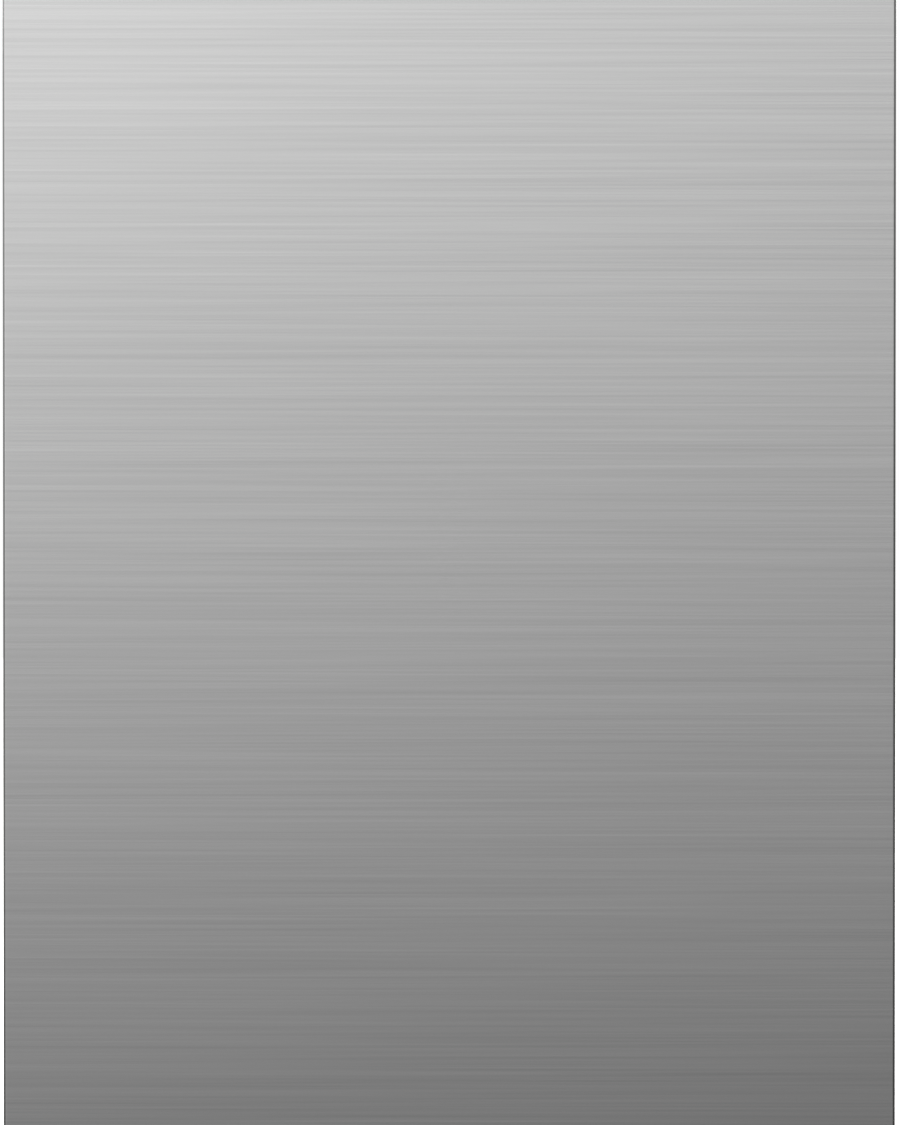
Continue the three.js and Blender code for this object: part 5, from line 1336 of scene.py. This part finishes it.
def makeSpring(side):  # coil, two hooked ends, and the rope that runs to the door's hinge arm
    spring, hook, v = span("door_spring_" + side), span("spring_hook_" + side), springLook
    x, z = spring["x"], spring["z"]
    start, end = hook["y1"], spring["y1"]
    length = end - start - v["hook"] * 2
    coil = grown("coil", "coil", "spring", turns=v["turns"], radius=v["coil"] - v["wire"], length=length,
                 wire=v["wire"], place=Vector((x, start + v["hook"], z)))
    ends = []
    for base, way in ((start + v["hook"], -1), (end - v["hook"], 1)):
        eye = [(x + v["coil"] * 0.8, base, z), (x + v["coil"] * 0.5, base + way * 0.003, z)]
        eye += [(x + 0.0036 * math.cos(a), base + way * (0.0072 + 0.0036 * math.sin(a)), z)
                for a in [math.radians(-60 + 25 * i) for i in range(12)]]
        ends.append(wirework("eye", [eye], v["wire"], fineness=2))
    made = softened(joined(side + "DoorSpring", [coil] + ends), 0, angle=60)
    made.data.materials.clear()
    made.data.materials.append(looks["spring"])
    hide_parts("door_spring_" + side)
    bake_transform(made)
    rx = hook["x"]
    crimp = drum("crimp", "y", (rx, z), 0.0026, start - 0.017, start - 0.003, 0.0008, 20)
    loop = wirework("loop", [[(rx, start - 0.004, z), (rx, start + 0.0, z)]], 0.001, fineness=2)
    finished(joined(side + "SpringHook", [crimp, loop]), 0, "zinc", bodyOf["spring_hook_" + side],
             "spring_hook_" + side)
    ropeEnd, ropeStart = start - 0.010, hook["y0"] + 0.0012
    rope = wirework(side + "SpringRope", [[(rx, y, z) for y in spread(ropeStart, ropeEnd, 40)]], v["rope"],
                    fineness=3)
    rope = softened(rope, 0, angle=60)
    rope.data.materials.clear()
    rope.data.materials.append(looks["rope"])
    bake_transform(rope)


for side in ("right", "left"):
    makeSpring(side)


def makeFoot(node, name):  # ribbed pad and threaded stem
    f = span(node)
    x, y, r, low, high = f["x"], f["y"], (f["x1"] - f["x0"]) / 2, f["z0"], f["z1"]
    pad = lathe("pad", "z", (x, y), [(0, low), (r - 0.002, low), (r, low + 0.0015), (r, low + 0.006),
                (r - 0.001, low + 0.0075), (0.010, low + 0.0085), (0.0085, low + 0.012), (0, low + 0.012)], 48)
    rib = brick("rib", x - 0.0008, x + 0.0008, y + r - 0.0012, y + r - 0.0001, low + 0.0022, low + 0.0056)
    ribs = ring("ribs", rib, "black", 36, (x, y, 0), (0, 0, 1))
    pitch = 0.002
    turns = int((high - low - 0.016) / pitch)
    profile = [(0, low + 0.010)]
    for i in range(turns):
        at = low + 0.012 + i * pitch
        profile += [(0.0061, at), (0.0070, at + pitch * 0.4), (0.0070, at + pitch * 0.55),
                    (0.0061, at + pitch * 0.95)]
    profile += [(0.0058, high - 0.001), (0.0045, high), (0, high)]
    stem = lathe("stem", "z", (x, y), profile, 28)
    finished(joined(name, [pad, ribs, stem]), 0, "black", bodyOf[node], node)


makeFoot("foot_front_left", "frontLeftFoot")
makeFoot("foot_front_right", "frontRightFoot")
makeFoot("foot_rear", "rearFoot")


def makeCirculationPump():  # finned motor, volute with screwed lugs, and a plug
    p = span("circulation_pump")
    x, y, z = p["x0"], (p["y0"] + p["y1"]) / 2, (p["z0"] + p["z1"]) / 2
    motor = lathe("motor", "x", (y, z), [(0, x), (0.030, x), (0.034, x + 0.003), (0.034, x + 0.008),
                                         (0.041, x + 0.012),
                  (0.0418, x + 0.014), (0.0418, x + 0.062), (0.040, x + 0.065), (0, x + 0.065)], 64)
    fin = brick("fin", x + 0.015, x + 0.060, y - 0.001, y + 0.001, z + 0.0405, z + 0.0432)
    fins = ring("fins", fin, "grey", 40, (0, y, z), (1, 0, 0))
    finished(joined("circulationMotor", [motor, fins]), 0, "black", "cabinet", "circulation_pump")
    front = p["x1"]
    shell = lathe("volute", "x", (y, z), [(0.0, x + 0.0655), (0.047, x + 0.0655), (0.0495, x + 0.068),
                                          (0.0495, front - 0.020),
                  (0.046, front - 0.014), (0.026, front - 0.0085), (0.0148, front - 0.0075), (0.0148, front),
                  (0.0125, front), (0.0125, front - 0.010)], 64)
    lug = brick("lug", x + 0.067, x + 0.072, y - 0.005, y + 0.005, z + 0.046, z + 0.0525)
    lugs = ring("lugs", softened(lug, 0.001), "white", 6, (0, y, z), (1, 0, 0))
    finished(joined("circulationVolute", [shell, lugs]), 0, "white", "cabinet")
    fixings("pumpScrews", "cabinet", [((x + 0.0722, y + 0.0493 * math.cos(a), z + 0.0493 * math.sin(a)), (1, 0, 0))
                                      for a in [math.pi / 2 + math.tau * i / 6 for i in range(6)]])
    plug = softened(brick("plug", x + 0.003, x + 0.011, y - 0.014, y + 0.014, z + 0.028, z + 0.038), 0.0012, 3)
    dress(plug, "white", "cabinet")


drainLook = {"axis": (-0.022, 0.082), "spout": (0.1353, 0.084), "fins": 30}


def makeDrainPump():  # pump head with its spout, and a finned motor behind it
    p, v = span("drain_pump"), drainLook
    (y, z), x0, x1 = v["axis"], p["x0"], p["x1"]
    head = lathe("head", "x", (y, z), [(0, x0), (0.0115, x0), (0.0115, x0 + 0.010), (0.027, x0 + 0.012),
                                       (0.0295, x0 + 0.014),
                 (0.0295, x0 + 0.030), (0.0262, x0 + 0.032), (0, x0 + 0.032)], 56)
    spout = lathe("spout", "y", v["spout"], [(0, -0.012), (0.0092, -0.012), (0.0092, 0.014), (0.0104, 0.016),
                  (0.0088, 0.0185), (0.0104, 0.0205), (0.0086, 0.0255), (0.006, 0.0255), (0.006, 0.01)], 32)
    finished(joined("drainPump", [head, spout]), 0, "white", "cabinet", "drain_pump")
    motor = lathe("motor", "x", (y, z), [(0, x0 + 0.0325), (0.0258, x0 + 0.0325), (0.0258, x1 - 0.008),
                  (0.023, x1 - 0.003), (0.008, x1 - 0.002), (0.007, x1), (0, x1)], 56)
    slot = brick("slot", x0 + 0.040, x1 - 0.012, y - 0.0007, y + 0.0007, z + 0.0245, z + 0.0262)
    slots = ring("slots", slot, "grey", v["fins"], (0, y, z), (1, 0, 0))
    finished(joined("drainMotor", [motor, slots]), 0, "black", "cabinet")


def hose(node, name, points, radius, rib, pitch):
    path = [Vector(p) / 1000 for p in smoothPath(points, 10)]
    made = grown(name, "hose", "rubber", path=curveOf(name + "Path", [path]), radius=radius * (1 - rib),
                 rib=rib, pitch=pitch)
    finished(joined(name, [made]), 0, "rubber", bodyOf[node], node)
    bands = []
    for a, b in ((path[0], path[3]), (path[-1], path[-4])):
        way = (b - a).normalized()
        band = [(radius - 0.0004, -0.0025), (radius + 0.0003, -0.0025), (radius + 0.0003, 0.0025),
                (radius - 0.0004, 0.0025)]
        base = lathe("band", "z", (0, 0), band, 40)
        base.rotation_mode = "QUATERNION"
        base.rotation_quaternion = way.to_track_quat("Z", "Y")
        base.location = a + way * 0.005
        bands.append(baked(base))
    finished(joined(name + "Clamps", bands), 0, "zinc", "cabinet")


valveLook = {"height": 0.070, "threads": 12, "firstThread": 0.2535, "pitch": 0.0026}


def makeValve():  # block with a threaded inlet, an outlet stub and a coil on top
    v, w = span("inlet_valve"), valveLook
    x = (v["x0"] + v["x1"]) / 2
    block = softened(brick("block", x - 0.0165, x + 0.0165, 0.2125, 0.2495, 0.0545, 0.0855), 0.003, 3)
    thread = [(0, 0.2485)]
    for i in range(w["threads"]):
        at = w["firstThread"] + i * w["pitch"]
        thread += [(0.0118, at), (0.0129, at + 0.001), (0.0129, at + 0.0014), (0.0118, at + 0.0024)]
    spigot = lathe("spigot", "y", (x, w["height"]), thread + [(0.0118, v["y1"]), (0.009, v["y1"]),
            (0.009, v["y1"] - 0.02),
                   (0, v["y1"] - 0.02)], 40)
    stub = lathe("stub", "y", (x, w["height"]), [(0, 0.2005), (0.0062, 0.2005), (0.0069, 0.2035), (0.0062, 0.206),
                 (0.0062, 0.214), (0, 0.214)], 24)
    finished(joined("inletValve", [block, spigot, stub]), 0, "white", "cabinet", "inlet_valve")
    coil = softened(brick("coil", x - 0.0138, x + 0.0138, 0.2185, 0.2435, 0.0858, 0.1115), 0.0018, 3)
    tabs = [brick("tab", x + s * 0.006 - 0.0004, x + s * 0.006 + 0.0004, 0.2135, 0.2185, 0.101, 0.107) for s in (-1,
            1)]
    finished(joined("valveCoil", [coil] + tabs), 0, "black", "cabinet")


makeCirculationPump()
makeDrainPump()
hoses = {  # middle line in millimetres between the ports, radius, rib and pitch of the ribs in metres
    "pump": ([(-118.3, 64, 114.5), (-126.3, 64, 114.5), (-139.6, 64, 107.6), (-152.9, 64, 100.8),
              (-160.9, 64, 100.8)],
             0.014, 0.05, 0.0056),
    "drain": ([(135.3, 26.3, 84), (135.3, 51.3, 84), (149.3, 106.3, 96), (157.3, 212, 92), (157.3, 276, 90),
               (157.3, 296, 90)], 0.011, 0.06, 0.005),
    "fill": ([(-222.2, 199.7, 70), (-222.2, 177.7, 70), (-182.2, 137.7, 92), (-130.2, 140.6, 130), (-52, 122.6, 138)],
             0.007, 0.0, 0.01),
}
for kind, (points, radius, rib, pitch) in hoses.items():
    hose(kind + "_hose", kind + "Hose", points, radius, rib, pitch)
makeValve()
print("pumps, hoses and springs made")


def plate(name, points, low, high):  # an upright outline pulled from one height to another
    return loft(name, [[(x, y, low) for x, y in points], [(x, y, high) for x, y in points]])


def annulus(name, x, y, inner, outer, low, high, segments=32):
    return lathe(name, "z", (x, y), [(inner, low), (outer, low), (outer, high), (inner, high), (inner, low)],
                 segments)


def makeButton(node, name, mark):  # shallow dished key with one printed sign
    b = span(node)
    x, y, top = b["x"], b["y"], b["z1"]
    body = softened(brick("key", b["x0"], b["x1"], b["y0"], b["y1"], b["z0"], top), 0.0007, 3)
    dish = lathe("dish", "z", (x, y), [(0, top - 0.0003), (0.0044, top - 0.00025), (0.0050, top + 0.001),
                                       (0, top + 0.001)], 40)
    body = cutBy(body, dish)
    finished(joined(name, [body]), 0, "black", bodyOf[node], node)
    low, high = top - 0.00028, top - 0.00008
    signs = {
        "power": lambda: [annulus("sign", x, y, 0.0019, 0.0024, low, high),
                          brick("sign", x - 0.00028, x + 0.00028, y + 0.0008, y + 0.0032, low, high)],
        "rows": lambda: [brick("sign", x - 0.0024, x + 0.0024, y + d - 0.00028, y + d + 0.00028, low, high)
                         for d in (-0.0014, 0, 0.0014)],
        "plus": lambda: [brick("sign", x - 0.0022, x + 0.0022, y - 0.0003, y + 0.0003, low, high),
                         brick("sign", x - 0.0003, x + 0.0003, y - 0.0022, y + 0.0022, low, high)],
        "start": lambda: [plate("sign", [(x - 0.0016, y - 0.0021), (x + 0.0022, y), (x - 0.0016, y + 0.0021)], low,
                                high)],
    }
    finished(joined(name + "Sign", signs[mark]()), 0, "mark", bodyOf[node])


makeButton("button_power", "powerButton", "power")
makeButton("button_program", "programButton", "rows")
makeButton("button_options", "optionsButton", "plus")
makeButton("button_start", "startButton", "start")


displayLook = {"places": (-0.062, -0.052, -0.042), "middle": -0.269, "drop": 0.0013}


def makeDisplay():  # dark window in the fascia's recess, with bars whose light is painted as a pale printed colour
    f = span("control_fascia")
    v = displayLook
    top = f["z1"] - v["drop"]
    pane = softened(brick("displayPane", -0.0757, -0.0283, -0.2747, -0.2633, top - 0.0004, top + 0.0006), 0.0003)
    pane = dress(pane, "lens", "door")
    bars = []
    for place in v["places"]:
        for dx, dy, wide, tall in ((0, 0.003, 0.0026, 0.0005), (0, 0, 0.0026, 0.0005), (0, -0.003, 0.0026, 0.0005),
                                   (-0.0029, 0.0015, 0.0005, 0.0024), (0.0029, 0.0015, 0.0005, 0.0024),
                                   (-0.0029, -0.0015, 0.0005, 0.0024), (0.0029, -0.0015, 0.0005, 0.0024)):
            x, y = place + dx, v["middle"] + dy
            bars.append(brick("bar", x - wide / 2, x + wide / 2, y - tall / 2, y + tall / 2, top + 0.0005,
                              top + 0.0007))
    # painted light: the lit bars are a pale colour that does not glow, standing in for the segments' light
    dress(joined("displayBars", bars), "mark", "door")


def makeDispenserParts():  # sliding lid with grip ribs, and the rinse aid cap
    lid, cap = span("dispenser_lid"), span("rinse_aid_cap")
    pieces = [refinedShape("dispenser_lid", 0.0012, 3)]
    face = lid["y1"]
    rib = brick("rib", lid["x0"] + 0.012, lid["x0"] + 0.014, face - 0.0002, face + 0.0008, lid["z0"] + 0.014,
                lid["z1"] - 0.014)
    pieces.append(row("grip", rib, "grey", 7, (0.004, 0, 0)))
    finished(joined("dispenserLid", pieces), 0, "grey", bodyOf["dispenser_lid"], "dispenser_lid")
    x, z, r = cap["x"], cap["z"], (cap["x1"] - cap["x0"]) / 2
    back, front = cap["y0"], cap["y1"]
    knob = lathe("knob", "y", (x, z), [(0, back), (r - 0.001, back), (r, back + 0.001), (r, front - 0.003),
                 (r - 0.0012, front - 0.0018), (r - 0.004, front - 0.0018), (r - 0.005, front - 0.0024), (0,
                         front - 0.0024)], 56)
    tooth = brick("tooth", x - 0.0007, x + 0.0007, back + 0.0015, front - 0.0035, z + r - 0.0006, z + r + 0.0001)
    teeth = ring("teeth", tooth, "grey", 36, (x, 0, z), (0, 1, 0))
    bar = softened(brick("bar", x - r + 0.003, x + r - 0.003, front - 0.0030, front, z - 0.0022, z + 0.0022), 0.0009,
                   3)
    finished(joined("rinseAidCap", [knob, teeth, bar]), 0, "grey", bodyOf["rinse_aid_cap"], "rinse_aid_cap")


def makeSmallParts():  # clips, a seal and screws
    t, tube, hub = span("tub"), span("feed_tube"), span("lower_spray_arm")
    seal = lathe("sumpSeal", "z", (0, hub["y"]), [(0.0985, 0.1552), (0.1035, 0.1552), (0.1042, 0.1568),
            (0.1030, 0.1580),
                 (0.0990, 0.1576), (0.0985, 0.1552)], 96)
    finished(seal, 0, "rubber", "cabinet")
    x = tube["x"]
    clips = [softened(brick("clip", x - 0.017, x + 0.017, t["y1"] - 0.030, t["y1"] - 0.0032, z, z + 0.012), 0.0015, 3)
             for z in (0.30, 0.60)]
    finished(joined("feedTubeClips", clips), 0, "grey", "cabinet")
    box = span("terminal_box")
    fixings("terminalScrews", "cabinet", [((box["x0"] + dx, box["y0"] + dy, box["z1"] - 0.0006), (0, 0, 1))
                                          for dx in (0.006, 0.056) for dy in (0.006, 0.062)])


makeDisplay()
makeDispenserParts()
makeSmallParts()
print("door furniture and small parts made")


plain = [
    ("base_tray", "baseTray", "black", 0.0008), ("toe_kick", "toeKick", "black", 0.0005),
    ("frame_right", "rightFrame", "zinc", 0.0003),
    ("frame_left", "leftFrame", "zinc", 0.0003), ("hinge_pin_right", "rightHingePin", "spring", 0.0003),
    ("hinge_pin_left", "leftHingePin", "spring", 0.0003), ("top_crossbar", "topCrossbar", "zinc", 0.0003),
    ("strike", "latchStrike", "zinc", 0.0004), ("sump", "sump", "grey", 0.0005),
    ("feed_tube", "feedTube", "grey", 0.005), ("pump_impeller", "pumpImpeller", "white", 0.0003), ("overfill_float",
            "overfillFloat", "grey", 0.0006), ("terminal_box", "terminalBox", "zinc", 0.0004),
    ("door_panel", "doorPanel", "steel", 0.0007), ("control_fascia", "controlFascia", "black",
            0.0005), ("control_board", "controlBoard", "board", 0.0002),
    ("latch_pawl", "latchPawl", "spring", 0.0003), ("dispenser_body", "dispenserBody", "grey", 0.0008),
    ("hinge_arm_right", "rightHingeArm", "zinc", 0.0003), ("hinge_arm_left", "leftHingeArm", "zinc", 0.0003),
    ]
for node, name, look, edge in plain:
    refined(node, name, look, edge)
print("plain pieces refined:", len(plain))
